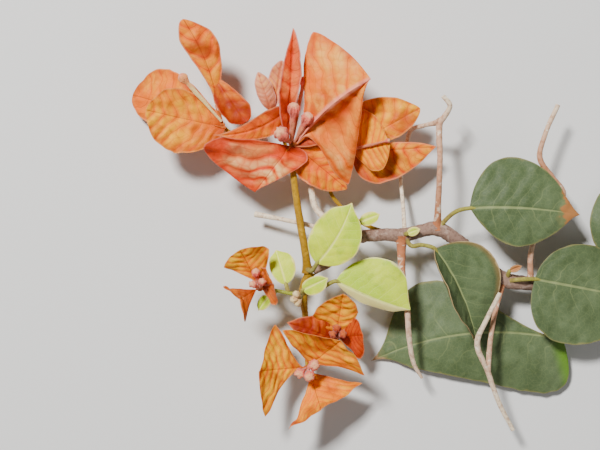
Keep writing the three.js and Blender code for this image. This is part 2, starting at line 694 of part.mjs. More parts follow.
const branch = new THREE.Group();
branch.add(plant);

export default branch;
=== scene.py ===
import math

import bpy
import numpy as np
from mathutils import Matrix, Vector


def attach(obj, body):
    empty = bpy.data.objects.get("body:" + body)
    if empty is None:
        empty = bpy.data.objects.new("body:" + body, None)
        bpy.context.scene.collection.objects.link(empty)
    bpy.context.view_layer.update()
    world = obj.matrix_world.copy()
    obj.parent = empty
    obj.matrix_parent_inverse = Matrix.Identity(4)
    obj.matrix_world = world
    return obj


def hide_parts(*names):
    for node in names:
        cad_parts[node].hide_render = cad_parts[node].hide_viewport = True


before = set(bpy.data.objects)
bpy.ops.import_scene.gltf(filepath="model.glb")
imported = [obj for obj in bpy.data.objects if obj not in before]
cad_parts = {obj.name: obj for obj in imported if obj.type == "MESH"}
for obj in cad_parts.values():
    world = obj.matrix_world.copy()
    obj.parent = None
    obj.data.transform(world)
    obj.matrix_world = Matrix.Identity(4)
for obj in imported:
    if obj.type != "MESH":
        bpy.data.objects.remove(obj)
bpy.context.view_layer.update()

FORK = np.array([-38.5, -16.8, 0.0])
METRES = 0.001
UP = np.array([0, 0, 1.0])

# Seeds of the unevenness: one for the whole branch, and the first one of each kind of piece
SEED = 7
BUD_SEED = 70
FORKED_SEED = 301
CUT_SEED = 350
LEAF_SEED = 400
STALK_SEED = 500
BRACT_SEED = 600

# Soft unevenness: how many waves it adds up, how long they are and how far they are calmed
RIPPLE_WAVES = 6
RIPPLE_SHORTEST = 0.7
RIPPLE_SPREAD = 0.15
RIPPLE_CALM = 3.5

# Limbs: their fineness, grain and knobs, and how far they widen where they grow from another
LIMB_STEP = 0.9
LIMB_SIDES = 18
LIMB_TINTS = (0.3, 0.8)
LIMB_ROUGH = {"bark": 0.07, "green_stem": 0.05, "dry_twig": 0.05}
FLARES = {"bark": 0.0, "green_stem": 0.3, "dry_twig": 0.9}
FLARE_REACH = 1.8
FORKED_ROUGH = 0.06
GRAIN_SIZE = 1.6
GRAIN_STRETCH = 0.75
KNOB_SIZE = 3.5
KNOB_SHARE = 0.6
NEARLY_UPRIGHT = 0.9

# The pale wood that shows at the cut end, and how far its disc reaches into and out of the bark
CUT_RADIUS = 2.55
CUT_DEPTH = 0.3
CUT_PROUD = 0.12
CUT_TUBE = {"tints": (0, 1), "step": 0.1, "sides": 32, "rough": 0.02}

# Flowers: the folds round a head and their depths, the tube and the throat under the head
FOLDS = 5
FINE_FOLDS = 13
FOLD_DEPTH = 0.55
FINE_FOLD_DEPTH = 0.45
TUBE_RADIUS = 0.5
THROAT_AT = 0.75
NECK_AT = 0.75
NECK_BACK = 1.75
BUD_SWELL = 1.45
BUD_TUBE = {"step": 0.32, "sides": 48, "rough": 0.13}
# A head in shares of its swell: how far past its middle, how wide, its tint and its crinkles
HEAD_SHAPE = [
    (-1.1, 0.72, 0.6, 0.12),
    (-0.45, 1.0, 0.66, 0.15),
    (0.15, 0.97, 0.74, 0.16),
    (0.6, 0.72, 0.9, 0.14),
    (0.86, 0.36, 1, 0.08),
    (0.92, 0.08, 1, 0),
]

# Blades: their fineness, their thickness and the stalks and claws that carry them
LEAF_GRID = {"rows": 88, "columns": 26}
BRACT_GRID = {"rows": 64, "columns": 22}
SMALL_GRID = {"rows": 34, "columns": 12}
SMALL_BLADE = 16
LEAF_THICK = 0.5
BRACT_THICK = 0.32
MARGIN_THICK = 0.4
FINEST_WING = 0.1
STALK_RADIUS = 0.75
STALK_FOOT = 1.3
STALK_TAPER = 0.35
STALK_INTO_LEAF = 0.08
STALK_TUBE = {"tints": (0.2, 0.9, 1), "step": 0.6, "sides": 14, "rough": 0.04}
CLAW_RADIUS = 0.55
CLAW_INTO_BRACT = 0.14
CLAW_TUBE = {"tints": (0, 0.6, 1), "step": 0.5, "sides": 10}
FINEST_STALK = 0.15
HUB_RADIUS = 1.3
HUB_HALF = 1.2
HUB_END = 0.5
HUB_TUBE = {"tints": (0, 0.2), "step": 0.4, "sides": 14}

# Outline of a wing: its corner at the widest place, its beak, and the unevenness of its margin
CORNER_REACH = 0.09
BEAK = (0.8, 1)
RAGGED_SIZE = 5
WINGS_APART = 40

# Veins: how far they stagger from wing to wing, and how far they wander over what length
STAGGER = 0.35
WANDER = 0.3
WANDER_SIZE = 16
JITTER = 0.09
JITTER_SIZE = 5
BRACT_VEINS = {"count": 6.5, "climb": 0.45, "arc": 0.05}
LEAF_VEINS = {"count": 7, "climb": 0.55, "arc": 0.06}

# Relief: blades shorter than this length, and those narrower than the room, are flatter
RELIEF_LENGTH = 42
ROOM = (1.0, 7.0)
WAVE_ROOM = (1, 8)
THIN_ROOM = (-0.4, 1.2)
# Soft steps along the rib, and from the rib to the margin
BASE_RISE = (0, 0.12)
TIP_FALL = (1, 0.93)
RIB_RISE = (0.02, 0.22)
MARGIN_FALL = (1.0, 0.72)
GROOVE_FALL = (1.0, 0.8)
FOLD_RISE = (0.0, 0.2)
FOLD_FALL = (0.8, 0.28)
GROOVE_WIDE = 0.55
SWELL_EVEN = 0.75
SWELL_UNEVEN = 0.45
SWELL_SIZE = 9
CRUMPLE_SIZE = 6
WAVE_CURVE = 2.2
WAVE_SHIFT = 0.13
WAVE_LAG = 0.2
BRACT_RELIEF = {"quilt": 1.0, "groove": 0.35, "crumple": 0.5, "wave": 0.6, "waves": 2.3,
                "ragged": 0.02, "pointed": 0.04, "beak": 0.25}
PALE_RELIEF = {"quilt": 0.2, "groove": 0.3, "crumple": 0.15, "wave": 0.7, "waves": 2.0,
               "ragged": 0.012, "pointed": 0, "beak": 0.6}
DARK_RELIEF = {"quilt": 0.24, "groove": 0.35, "crumple": 0.25, "wave": 0.9, "waves": 1.6,
               "ragged": 0.01, "pointed": 0, "beak": 0.2}

# The marks of a blade's points, which the paints read: the phase between veins, the distance
# from the rib and from the margin, the share along the rib and the share across the wing
BLADE_MARKS = ("phase", "across", "margin", "along", "side")
SHARP_ANGLE = 62

# Sockets of Blender's mix node for colours: the share and the two colours, and what comes out
MIX_SOCKETS = (0, 6, 7)
MIX_RESULT = 2

# Scales of the painted patterns: the higher, the finer
GLINTS = 48
PATCHES = 60
BLOTCHES = 75
BROWN_WAVES = 150
MOTTLES = 170
EDGE_WAVES = 260
STEM_MARKS = 260
BRACT_NET = 300
LEAF_NET = 600
VELVET = 1100
SPECKS = 1400
STEM_GRAIN = 1800
LEAF_GRAIN = 2000
FINE_GRAIN = 2400


def wing(wide, **shape):
    """One wing of a blade: its width, how far along it is widest, how sharply it narrows to
    both ends, its tilt up at the rib, the extra tilt at its margin and its lean to the tip."""
    return {"wide": wide, "widest": 0.42, "sharp": 1.6, "lift": 0, "curl": 0, "rake": 0, **shape}


def form(look, base, tip, left, right, **more):
    """A leaf or bract: its look, the ends of its rib, its wings, how it is bent and extras."""
    return {"look": look, "base": base, "tip": tip, "left": left, "right": right, **more}


# The limbs: each has its look, its points, the radius at each point and its tints from 0 to 1.
LIMBS = {
    "woody_branch": dict(look="bark",
        places=[[150, -26, 2.9], [125.5, -18, 5.5], [108, -12.5, 9], [93, -6.5, 13.5], [80.5, -4.5, 16],
                [72, 1.5, 18], [61.5, 11, 20], [52, 16.5, 21], [45, 15.5, 21.5], [39, 14, 22],
                [29, 14, 22.5], [19, 12.5, 23], [8.5, 3.5, 24], [1.5, -0.5, 24]],
        radii=[3.1, 3, 2.9, 2.8, 3.2, 2.7, 2.7, 3, 2.6, 2.9, 2.4, 2.5, 2.3, 1.9],
        tints=(1, 0.3, 0.1, 0.2, 0.5, 0.2, 0.1, 0.5, 0.2, 0.4, 0.2, 0.3, 0.4, 0.6)),
    "shoot_upper": dict(look="green_stem",
        places=[[-0.5, -1, 24.5], [-1.2, 5, 26], [-4, 22, 25], [-5.6, 33, 21.5], [-6.5, 41, 17.5],
                [-6.9, 47.6, 18.4], [-6.8, 50.2, 21.4]],
        radii=[1.9, 1.6, 1.5, 1.4, 1.3, 1.2, 1.1], tints=(0, 0.4, 0.7, 0.8, 0.6)),
    "shoot_lower": dict(look="green_stem",
        places=[[0.5, -1, 24], [-1.8, -5.5, 24.5], [-2.4, -10.6, 24.5], [-1.7, -16.8, 19.5],
                [-1, -23.4, 13.4], [-0.8, -28.6, 10.6]],
        radii=[1.8, 1.5, 1.9, 1.3, 1.2, 1.1], tints=(0.4, 0.2, 0.6, 0.1)),
    "stalk_left": dict(look="green_stem", paint="young_stem",
        places=[[-2.4, -10.6, 25], [-6, -9.8, 26], [-12.5, -8.6, 26], [-18.9, -7.4, 26]],
        radii=[0.9, 0.8, 0.75, 0.75]),
    "stalk_low_front": dict(look="green_stem",
        places=[[-0.8, -27.8, 11.4], [-0.9, -34, 10.5], [-0.7, -40, 13]],
        radii=[0.9, 0.8, 0.8]),
    "stalk_low_back": dict(look="green_stem",
        places=[[-0.8, -27, 12], [5, -28.5, 10.8], [10.4, -28.6, 12.5]],
        radii=[0.8, 0.75, 0.75]),
    "stalk_top_left": dict(look="green_stem",
        places=[[-6.6, 42.5, 17.6], [-17.9, 47.8, 15.5], [-28.2, 52.8, 15.5], [-35, 58, 18.6]],
        radii=[0.9, 0.8, 0.8, 0.8]),
    "stalk_top_young": dict(look="green_stem",
        places=[[-6.8, 44.6, 18.2], [-11, 54, 17.5], [-14.5, 62, 20]],
        radii=[0.8, 0.7, 0.7]),
    "stalk_top_right": dict(look="green_stem",
        places=[[35, 14, 21], [22.6, 18.4, 15], [12, 27, 12], [8.8, 32.5, 12], [11.2, 40.5, 13],
                [16.3, 48, 16]],
        radii=[0.9, 0.8, 0.8, 0.8, 0.8, 0.8]),
    "dry_twig_tall": dict(look="dry_twig",
        places=[[52, 17, 21.5], [52, 27.5, 27], [52.4, 44, 30], [52.8, 59.5, 26], [54.4, 61.5, 26],
                [56.6, 66, 28], [53.7, 69.7, 29]],
        radii=[1.5, 1.2, 1.1, 1.4, 1.15, 1.05, 0.9], tints=(0, 0.2, 0.35, 0.5, 0.8, 1)),
    "dry_twig_arm": dict(look="dry_twig",
        places=[[52.8, 59.5, 26], [47, 58.5, 20], [42, 57, 15], [40.5, 51.8, 11], [39.5, 45, 9],
                [38.2, 38.3, 9], [38.8, 26, 13], [39, 14.5, 20.5]],
        radii=[1, 0.9, 0.9, 0.9, 0.8, 0.8, 0.8, 0.9], tints=(0.5, 0.6, 1, 1)),
    "dry_twig_hanging": dict(look="dry_twig",
        places=[[37.5, 13, 22], [37.6, -0.6, 24], [39.6, -14.7, 24], [40.6, -27, 22], [42.9, -38.7, 18],
                [46.3, -44.6, 16]],
        radii=[1.9, 1.4, 1.2, 1.1, 0.9, 0.6], tints=(0, 0.1, 0.6, 0.8, 0.6)),
    "dry_twig_short": dict(look="dry_twig",
        places=[[91, -6, 13.8], [91.6, 10.2, 17], [101, 24.1, 17], [104, 31, 18], [99, 37.5, 20],
                [93.8, 45.2, 21], [96, 55, 21], [101.3, 66.8, 20]],
        radii=[1.2, 1.1, 1, 1, 1.1, 1.2, 1, 1], tints=(0, 0.7, 0.6, 0.2, 0.15, 0.4, 0.8)),
    "dry_twig_left": dict(look="dry_twig",
        places=[[18, 12, 22.5], [1.3, 17.6, 16], [-11.8, 20.5, 13], [-22.2, 22.5, 10]],
        radii=[1, 1, 0.9, 1.2], tints=(0.4, 0.9, 1)),
    "dry_twig_white": dict(look="dry_twig",
        places=[[20, 12.5, 22], [3.4, 24.2, 14], [0.9, 33.2, 12]],
        radii=[1.3, 1.3, 1.2], tints=(0.8, 1, 1)),
}

# The forked dry twig: a stalk that divides into two arms.
FORKED_TWIG = [
    dict(places=[[79.6, -5, 16.5], [76.5, -14.5, 20], [73.8, -26.6, 22], [72.6, -41.6, 22]],
         radii=[1.2, 1, 1, 1.1], tints=(0, 0.3, 0.5)),
    dict(places=[[72.6, -41.6, 22], [67.7, -29.5, 26], [70.6, -21.3, 28], [76.4, -9.2, 30]],
         radii=[1, 1.2, 1, 0.85], tints=(0.6, 0.9, 1)),
    dict(places=[[72.6, -41.6, 22], [77.5, -54.5, 19], [83.6, -65.9, 16]], radii=[1.1, 1, 0.85],
         tints=(0.6, 0.9, 1)),
]

# The leaves: each also has its stalk's points before the blade's base.
LEAVES = {
    "leaf_pale_upright": form("pale_leaf",
        [3.2, 2.9, 34], [16.9, 26.7, 39], wing(10.3, widest=0.45, sharp=1.35, lift=6, curl=-14),
        wing(9.8, sharp=1.3, lift=4, curl=-10), bow=0.06, sweep=0.06,
        stalk=[[-1, 0.5, 25.5], [1, -0.4, 29]]),
    "leaf_pale_folded": form("pale_leaf",
        [10.8, -4.4, 30.6], [40.7, -16.2, 27], wing(16.5, widest=0.5, sharp=1.25, lift=4, curl=-16),
        wing(4.2, widest=0.5, sharp=1.3, lift=-30, curl=-14), bow=0.03, sweep=0.03, paint="turned_leaf",
        stalk=[[-2.2, -10, 25], [2.4, -8.2, 26], [6.4, -6.5, 28]]),
    "leaf_pale_little": form("pale_leaf",
        [20.5, 19.2, 28], [28.5, 22.4, 29], wing(2.6, sharp=1.2, lift=-5), wing(2.8, sharp=1.2, lift=-5),
        stalk=[[19.8, 13.5, 23]]),
    "leaf_pale_back": form("pale_leaf",
        [-9.3, -5.9, 23], [-13.4, 7.8, 20], wing(4.5, widest=0.5, sharp=1.1),
        wing(6, widest=0.5, sharp=1.1), bow=0.05, stalk=[[-8.2, -9.3, 26]]),
    "leaf_pale_under": form("pale_leaf",
        [-16.2, -10.6, 23], [-20.6, -16.8, 21], wing(2.5, sharp=1.2), wing(2.5, sharp=1.2),
        stalk=[[-13.5, -8.6, 26]]),
    "leaf_pale_node": form("pale_leaf",
        [-2.4, -8, 28.5], [7.6, -3.1, 32], wing(3.2, widest=0.4, sharp=1), wing(4, widest=0.45, sharp=1),
        bow=0.05, stalk=[[-2.4, -10.6, 25]]),
    "leaf_pale_tiny": form("pale_leaf",
        [39.6, 14.6, 26.5], [44.6, 16.4, 29], wing(1.8, sharp=1.2), wing(1.8, sharp=1.2),
        stalk=[[38.5, 14, 22.5]]),
    "leaf_brown_young": form("young_leaf",
        [81.6, -0.6, 20.6], [86.4, 1.4, 22], wing(1.5, sharp=1.4, lift=20), wing(1.5, sharp=1.4, lift=20),
        stalk=[[80.9, -4, 17]]),
    "leaf_dark_top": form("dark_leaf",
        [64.9, 24.8, 26], [109.5, 22, 24], wing(21, widest=0.36, sharp=1.5, lift=-2, curl=-14),
        wing(15.5, widest=0.46, sharp=2.1, lift=-2, curl=-12), bow=0.05, sweep=-0.03,
        paint="browned_leaf", beak=0.5, stalk=[[53, 17.5, 22], [58.9, 23.2, 25]]),
    "leaf_dark_hanging": form("dark_leaf",
        [50.6, 8.4, 28], [68, -30, 20], wing(19, widest=0.34, sharp=1.3, lift=-4, curl=-14),
        wing(16.5, widest=0.4, sharp=1.5, lift=45, curl=50), bow=0.04, sweep=-0.06, paint="curled_leaf",
        stalk=[[39.2, 13, 22.5], [41.3, 9.6, 26], [45.4, 10, 28.3]]),
    "leaf_dark_right": form("dark_leaf",
        [92.1, -4, 19.5], [139.2, -13, 9], wing(18, sharp=1.3, curl=-8),
        wing(24, widest=0.4, sharp=1.1, lift=6, curl=-8, rake=-8), bow=0.05,
        stalk=[[80.4, -5, 17], [85.9, -4.2, 20.2]]),
    "leaf_dark_low": form("dark_leaf",
        [105.5, -29.5, 8], [26.2, -39, 1.2],
        wing(26, widest=0.24, sharp=1.3, lift=-6, curl=-12, rake=-10),
        wing(24.5, widest=0.68, sharp=3.4, lift=-2, curl=-8), bow=0.06, sweep=0.09, paint="low_leaf",
        beak=0.75, stalk=[[111, -14, 8.2], [109, -22.2, 8]]),
    "leaf_dark_end": form("dark_leaf",
        [142.6, 1.4, 7], [129.6, 41, 1.6], wing(20, widest=0.44, sharp=1.5, lift=-2, curl=-8),
        wing(14, sharp=1.5, lift=-2, curl=-8), bow=0.06, stalk=[[141, -23, 4.2], [144.3, -9.8, 6.8]]),
}

# The blooms: each has a hub, bracts round it, and flowers with their foot, head and swell.
BLOOMS = {
    "bloom_top_left": dict(
        hub=[-35.3, 58.7, 20], flower_paint="flower_pale",
        bracts=[
            form("salmon", [-35.8, 60.4, 19], [-73.6, 72.5, 1.4], wing(9, widest=0.7, sharp=1.3),
                 wing(14.5, widest=0.66, sharp=1.4, lift=5, curl=-15), bow=0.1),
            form("amber", [-34, 57.5, 20.5], [-65.4, 64.2, 28], wing(14.5, widest=0.55, sharp=1, lift=8),
                 wing(12, widest=0.62, sharp=1.2, lift=10, curl=10), bow=-0.05),
            form("flame", [-36, 61, 21], [-49.9, 99.6, 36], wing(6, widest=0.8, sharp=2.4),
                 wing(8, widest=0.72, sharp=2.8, lift=-10), bow=0.04, sweep=0.06),
            form("lobe", [-38.4, 78, 26.9], [-25.3, 59.4, 27],
                 wing(5.4, widest=0.78, sharp=1.1, lift=-4, curl=-8),
                 wing(7.1, widest=0.62, sharp=0.9, lift=-8, curl=-24), bow=0.04, veins=dict(count=4.0)),
        ],
        flowers=[([-35.5, 60, 22], [-50.7, 77.2, 29], 1.9)],
    ),
    "bloom_top_middle": dict(
        hub=[-6.8, 50.7, 22.6],
        bracts=[
            form("coral", [-8.5, 52, 25.5], [-6.4, 95.5, 40], wing(5, sharp=1.9, lift=40),
                 wing(5, widest=0.65, sharp=1.7, lift=25), bow=0.03, roll=-10),
            form("flame", [-8.8, 64, 29.4], [-38.3, 53.9, 32],
                 wing(5.5, widest=0.26, sharp=1.7, lift=-20), wing(5, widest=0.26, sharp=1.8, lift=20),
                 sweep=-0.1),
            form("rose", [-7.6, 49.8, 24.5], [-21.8, 31.4, 22],
                 wing(11, widest=0.3, sharp=2, lift=-6, rake=-34),
                 wing(29, widest=0.62, sharp=1.5, lift=12, curl=8, rake=10), bow=0.08,
                 relief=dict(quilt=1.5, crumple=0.7), veins=dict(count=4.0)),
            form("peach", [-4.5, 51, 25.5], [24.2, 75.2, 42],
                 wing(29, widest=0.82, sharp=2.1, lift=-8, curl=-10),
                 wing(39, widest=0.62, sharp=5, lift=-10, curl=-12, rake=-38), bow=0.05, sweep=-0.06,
                 relief=dict(fold=4.2, groove=-0.5)),
            form("flame", [-5, 49.6, 23], [15.6, 32.7, 17], wing(8, widest=0.45, sharp=1.5, lift=-4),
                 wing(9, widest=0.4, sharp=1.1, lift=-8), bow=0.04),
            form("ember", [-6.4, 51, 24], [6.2, 52.2, 26.5], wing(2.4, widest=0.45, sharp=0.9),
                 wing(2.6, widest=0.45, sharp=0.9), sweep=-0.04),
        ],
        flowers=[
            ([-7.2, 51.5, 25.5], [-6, 64.5, 34], 2.4),
            ([-5.8, 51.5, 25.5], [-0.6, 60.8, 33], 2.4),
            ([-7.6, 51, 25.5], [-11.2, 54.6, 33], 2.8),
            ([-6.6, 52, 25], [-2.2, 76, 31], 1.5),
        ],
    ),
    "bloom_top_right": dict(
        hub=[16.8, 48.6, 18],
        bracts=[
            form("amber", [17.4, 50, 18.5], [45, 65.4, 22], wing(13.5, sharp=1.2, lift=6),
                 wing(6, widest=0.6, sharp=1.3), bow=0.05),
            form("amber", [17.6, 48.4, 19], [32.3, 50.3, 31], wing(16, widest=0.55, sharp=1.5, rake=-10),
                 wing(10, widest=0.55, lift=-6), bow=-0.04),
            form("flame", [17.6, 47.4, 18], [52, 50, 18], wing(3, widest=0.5, sharp=1.4),
                 wing(13.5, widest=0.3, sharp=1.3, lift=-6), bow=0.04),
        ],
        flowers=[([17.6, 48.8, 19], [31.5, 51.6, 32.5], 0.9)],
    ),
    "bloom_top_young": dict(
        hub=[-14.9, 63.5, 21.5],
        bracts=[
            form("blush", [-15.4, 64.4, 22], [-20.5, 79.5, 27],
                 wing(3.6, widest=0.5, sharp=1.2, lift=-10, curl=-20),
                 wing(4.4, widest=0.45, sharp=1.1, lift=-10, curl=-20), bow=0.1),
            form("blush", [-14.4, 64.6, 21.5], [-10.8, 84.4, 25],
                 wing(4.4, widest=0.6, sharp=1.2, lift=10), wing(3, widest=0.6, sharp=1.2, lift=10),
                 bow=-0.06),
        ],
        flowers=[],
    ),
    "bloom_left": dict(
        hub=[-19.8, -7.4, 26.2], pointed=0.12,
        bracts=[
            form("orange", [-19.9, -6.6, 26.8], [-27.4, 8.1, 36],
                 wing(9, widest=0.74, sharp=2.4, lift=4, rake=8), wing(10.5, widest=0.66, lift=4),
                 bow=-0.08),
            form("russet", [-20.6, -7.6, 26.8], [-27.4, -11.4, 37],
                 wing(10.4, widest=0.74, sharp=1.9, lift=-10, rake=32),
                 wing(10.4, widest=0.74, sharp=1.9, lift=-10, rake=42), bow=-0.1,
                 relief=dict(pointed=0.02, ragged=0.0, beak=0.0, wave=0.0, quilt=0.3)),
            form("russet", [-19, -7.5, 26.8], [-14, -5.5, 42], wing(8.5, widest=0.6, sharp=2.2, lift=4),
                 wing(8.5, widest=0.5, sharp=2.4, lift=4, rake=-16), bow=-0.08),
        ],
        flowers=[
            ([-20, -7.2, 27], [-21.1, -0.7, 34], 1.6),
            ([-20.2, -7.4, 27], [-22.4, -5.4, 36], 1.5),
            ([-19.6, -7.2, 27], [-18.6, -4.4, 36], 1.5),
        ],
    ),
    "bloom_low_front": dict(
        hub=[-0.7, -40.6, 14.8], pointed=0.2,
        bracts=[
            form("orange", [-1.6, -40.4, 15.2], [-20, -40.6, 30],
                 wing(19, widest=0.78, sharp=2.6, lift=-4), wing(18.5, widest=0.56, sharp=3.4), bow=-0.1),
            form("orange", [0.2, -39.8, 15.4], [12.7, -27.7, 36],
                 wing(20, widest=0.5, sharp=3, lift=14, rake=-16),
                 wing(18, widest=0.6, sharp=3.2, rake=18), bow=-0.05),
            form("orange", [0, -41.6, 15.2], [4.8, -56, 30],
                 wing(19, widest=0.5, sharp=3.2, lift=-4, rake=6),
                 wing(17.5, widest=0.7, sharp=3, lift=-10, rake=28), bow=-0.1),
        ],
        flowers=[
            ([-0.4, -40.2, 15.5], [2, -38.3, 27], 2.3),
            ([-1.2, -40.8, 15.5], [-3.8, -41.8, 26], 2),
            ([-0.6, -41.2, 15.5], [0.2, -42.9, 27], 2.2),
        ],
    ),
    "bloom_low_back": dict(
        hub=[11.2, -28.4, 14], pointed=0.08, flower_paint="flower_ember",
        bracts=[
            form("amber", [11.2, -27.6, 14.6], [13.6, -9.6, 29],
                 wing(11, widest=0.5, sharp=1.9, lift=6, rake=-8),
                 wing(7.5, widest=0.6, sharp=1.5, lift=6), bow=-0.06),
            form("ember", [12, -28.4, 14], [22, -26.5, 22],
                 wing(8.5, widest=0.6, sharp=2.8, lift=4, rake=12),
                 wing(10, widest=0.6, sharp=2.6, lift=-10), bow=-0.04),
            form("ember", [10.4, -28.1, 14.6], [-8.9, -21.6, 20], wing(4, widest=0.5),
                 wing(7, widest=0.4, lift=-4), bow=0.1),
        ],
        flowers=[
            ([11.2, -28, 14.6], [11.4, -23.7, 21], 1.6),
            ([11, -28.2, 14.6], [9.8, -26.2, 22], 1.5),
            ([11.6, -28.2, 14.6], [13.8, -26.2, 22], 1.6),
        ],
    ),
}

# A cluster of closed flower buds in the axil of the lower shoot, on one foot
BUD_FOOT = [-3, -11, 26.4]
BUD_HEADS = [[-5.2, -9.6, 29.5], [-6.2, -11.8, 29], [-4.6, -13.4, 28]]


def smooth(value, low, high):
    """0 at low, 1 at high, and a soft step between them."""
    share = np.clip((value - low) / (high - low), 0, 1)
    return share * share * (3 - 2 * share)


def ripple(points, size, seed):
    """Soft seeded unevenness, mostly from -1 to 1, with bumps of about the given size."""
    dice = np.random.default_rng(SEED + seed)
    total = np.zeros(points.shape[:-1])
    for wave in range(RIPPLE_WAVES):
        direction = dice.normal(size=3)
        length = size * (RIPPLE_SHORTEST + RIPPLE_SPREAD * wave)
        direction *= math.tau / length / np.linalg.norm(direction)
        total += np.sin(points @ direction + dice.uniform(0, math.tau))
    return total / RIPPLE_CALM


def unit(vectors):
    """The vectors, each with length 1."""
    return vectors / np.maximum(np.linalg.norm(vectors, axis=-1, keepdims=True), 1e-9)


def inward(spec, share):
    """The point on a blade's straight line from base to tip at the given share."""
    return (np.array(spec["base"]) + share * np.subtract(spec["tip"], spec["base"])).tolist()


def curve(places, step):
    """Points and directions along a smooth curve through the places, and each point's number
    between the places. It doesn't overshoot where places lie close together."""
    knots = np.array(places, float)
    reach = np.linalg.norm(np.diff(knots, axis=0), axis=1)
    counts = np.maximum(3, np.ceil(reach / step).astype(int))
    stretches = [np.linspace(k, k + 1, n, endpoint=False) for k, n in enumerate(counts)]
    spots = np.append(np.concatenate(stretches), len(reach))
    around = np.vstack([2 * knots[0] - knots[1], knots, 2 * knots[-1] - knots[-2]])
    low = np.minimum(spots.astype(int), len(reach) - 1)
    share = (spots - low)[:, None]
    before, start, end, after = (around[low + k] for k in range(4))
    gaps = [np.sqrt(np.linalg.norm(b - a, axis=1))[:, None]
            for a, b in ((before, start), (start, end), (end, after))]
    leave = (start - before) / gaps[0] - (end - before) / (gaps[0] + gaps[1]) + (end - start) / gaps[1]
    meet = (end - start) / gaps[1] - (after - start) / (gaps[1] + gaps[2]) + (after - end) / gaps[2]
    leave = leave * gaps[1]
    meet = meet * gaps[1]
    square = -3 * start + 3 * end - 2 * leave - meet
    cube = 2 * start - 2 * end + leave + meet
    points = start + share * (leave + share * (square + share * cube))
    directions = unit(leave + share * (2 * square + share * 3 * cube))
    return points, directions, spots


def tube(places, radii, tints=(0, 0), step=LIMB_STEP, sides=LIMB_SIDES, rough=0.03, seed=0,
         crinkle=(0, 0), flare=0.0):
    """A limb with round or crinkled sections. The radii, the tints from 0 to 1 and the depths
    of the crinkles are spread evenly over the places."""
    points, directions, spots = curve(places, step)

    def spread(values):
        return np.interp(spots, np.linspace(0, len(places) - 1, len(values)), values)

    travelled = np.append(0, np.cumsum(np.linalg.norm(np.diff(points, axis=0), axis=1)))
    radius = spread(radii) * (1 + flare * np.exp(-travelled / FLARE_REACH))
    tint = spread(tints)
    angles = np.arange(sides) / sides * math.tau
    folds = FOLD_DEPTH * np.cos(FOLDS * angles + seed) + FINE_FOLD_DEPTH * np.cos(FINE_FOLDS * angles)
    side = UP if abs(directions[0][2]) < NEARLY_UPRIGHT else np.array([1.0, 0, 0])
    rings = []
    for point, along, thick, deep in zip(points, directions, radius, spread(crinkle)):
        side = unit(side - along * (side @ along))
        other = np.cross(along, side)
        around = np.cos(angles)[:, None] * side + np.sin(angles)[:, None] * other
        rings.append(point + (thick * (1 + deep * folds))[:, None] * around)
    grid = np.array(rings)
    outward = unit(grid - points[:, None])
    drawn_out = grid - GRAIN_STRETCH * directions[:, None] * travelled[:, None, None]
    grain = rough * radius[:, None] * ripple(drawn_out, GRAIN_SIZE, seed)
    knobs = KNOB_SHARE * rough * radius[:, None] * ripple(grid, KNOB_SIZE, seed + 1)
    grid = grid + outward * (grain + knobs)[..., None]
    rows = len(points)
    corners = np.vstack([grid.reshape(-1, 3), points[:1], points[-1:]])
    here = np.arange(rows - 1)[:, None] * sides + np.arange(sides)
    beside = np.arange(rows - 1)[:, None] * sides + (np.arange(sides) + 1) % sides
    faces = np.stack([here, beside, beside + sides, here + sides], -1).reshape(-1, 4).tolist()
    first, last = rows * sides, rows * sides + 1
    top = (rows - 1) * sides
    faces += [[first, (k + 1) % sides, k] for k in range(sides)]
    faces += [[last, top + k, top + (k + 1) % sides] for k in range(sides)]
    return corners, faces, {"tint": np.append(np.repeat(tint, sides), [tint[0], tint[-1]])}


def bud(foot, head, swell, seed):
    """A flower tube that widens to a neck and then to a closed, crinkled head."""
    foot, head = np.array(foot, float), np.array(head, float)
    along = unit(head - foot)
    neck = head - along * min(NECK_AT * np.linalg.norm(head - foot), NECK_BACK * swell)
    throat = foot + (neck - foot) * THROAT_AT
    # Each row: a place, its radius, its tint and the depth of its crinkles
    rows = [
        (foot, TUBE_RADIUS, 0, 0),
        (foot + 0.4 * (throat - foot), 1.3 * TUBE_RADIUS, 0.1, 0),
        (throat, 0.5 * swell, 0.25, 0.06),
        (neck, 0.46 * swell, 0.4, 0.08),
    ]
    rows += [(head + along * past * swell, wide * swell, tint, depth)
             for past, wide, tint, depth in HEAD_SHAPE]
    places, radii, tints, crinkle = zip(*rows)
    return tube([place.tolist() for place in places], radii, tints, seed=seed, crinkle=crinkle, **BUD_TUBE)


def joined(parts):
    """Several meshes as one."""
    corners, faces, marks, start = [], [], {}, 0
    for part_corners, part_faces, part_marks in parts:
        corners.append(part_corners)
        faces += [[index + start for index in face] for face in part_faces]
        for name, values in part_marks.items():
            marks.setdefault(name, []).append(values)
        start += len(part_corners)
    return np.vstack(corners), faces, {name: np.concatenate(values) for name, values in marks.items()}


def width_at(shape, u, pointed, beak):
    """The width of a wing at shares u of the rib: it narrows from its widest place to both
    ends. A pointed wing has a corner at that place, and a beaked one a finer tip."""
    widest, sharp = shape["widest"], shape["sharp"]
    rise = np.power(u / widest, widest * sharp)
    fall = np.power(np.maximum(1 - u, 0) / (1 - widest), (1 - widest) * sharp)
    corner = 1 - pointed * (1 - np.exp(-np.abs(u - widest) / CORNER_REACH))
    narrowed = 1 - beak * smooth(u, *BEAK)
    return np.maximum(FINEST_WING, shape["wide"] * rise * fall * corner * narrowed)


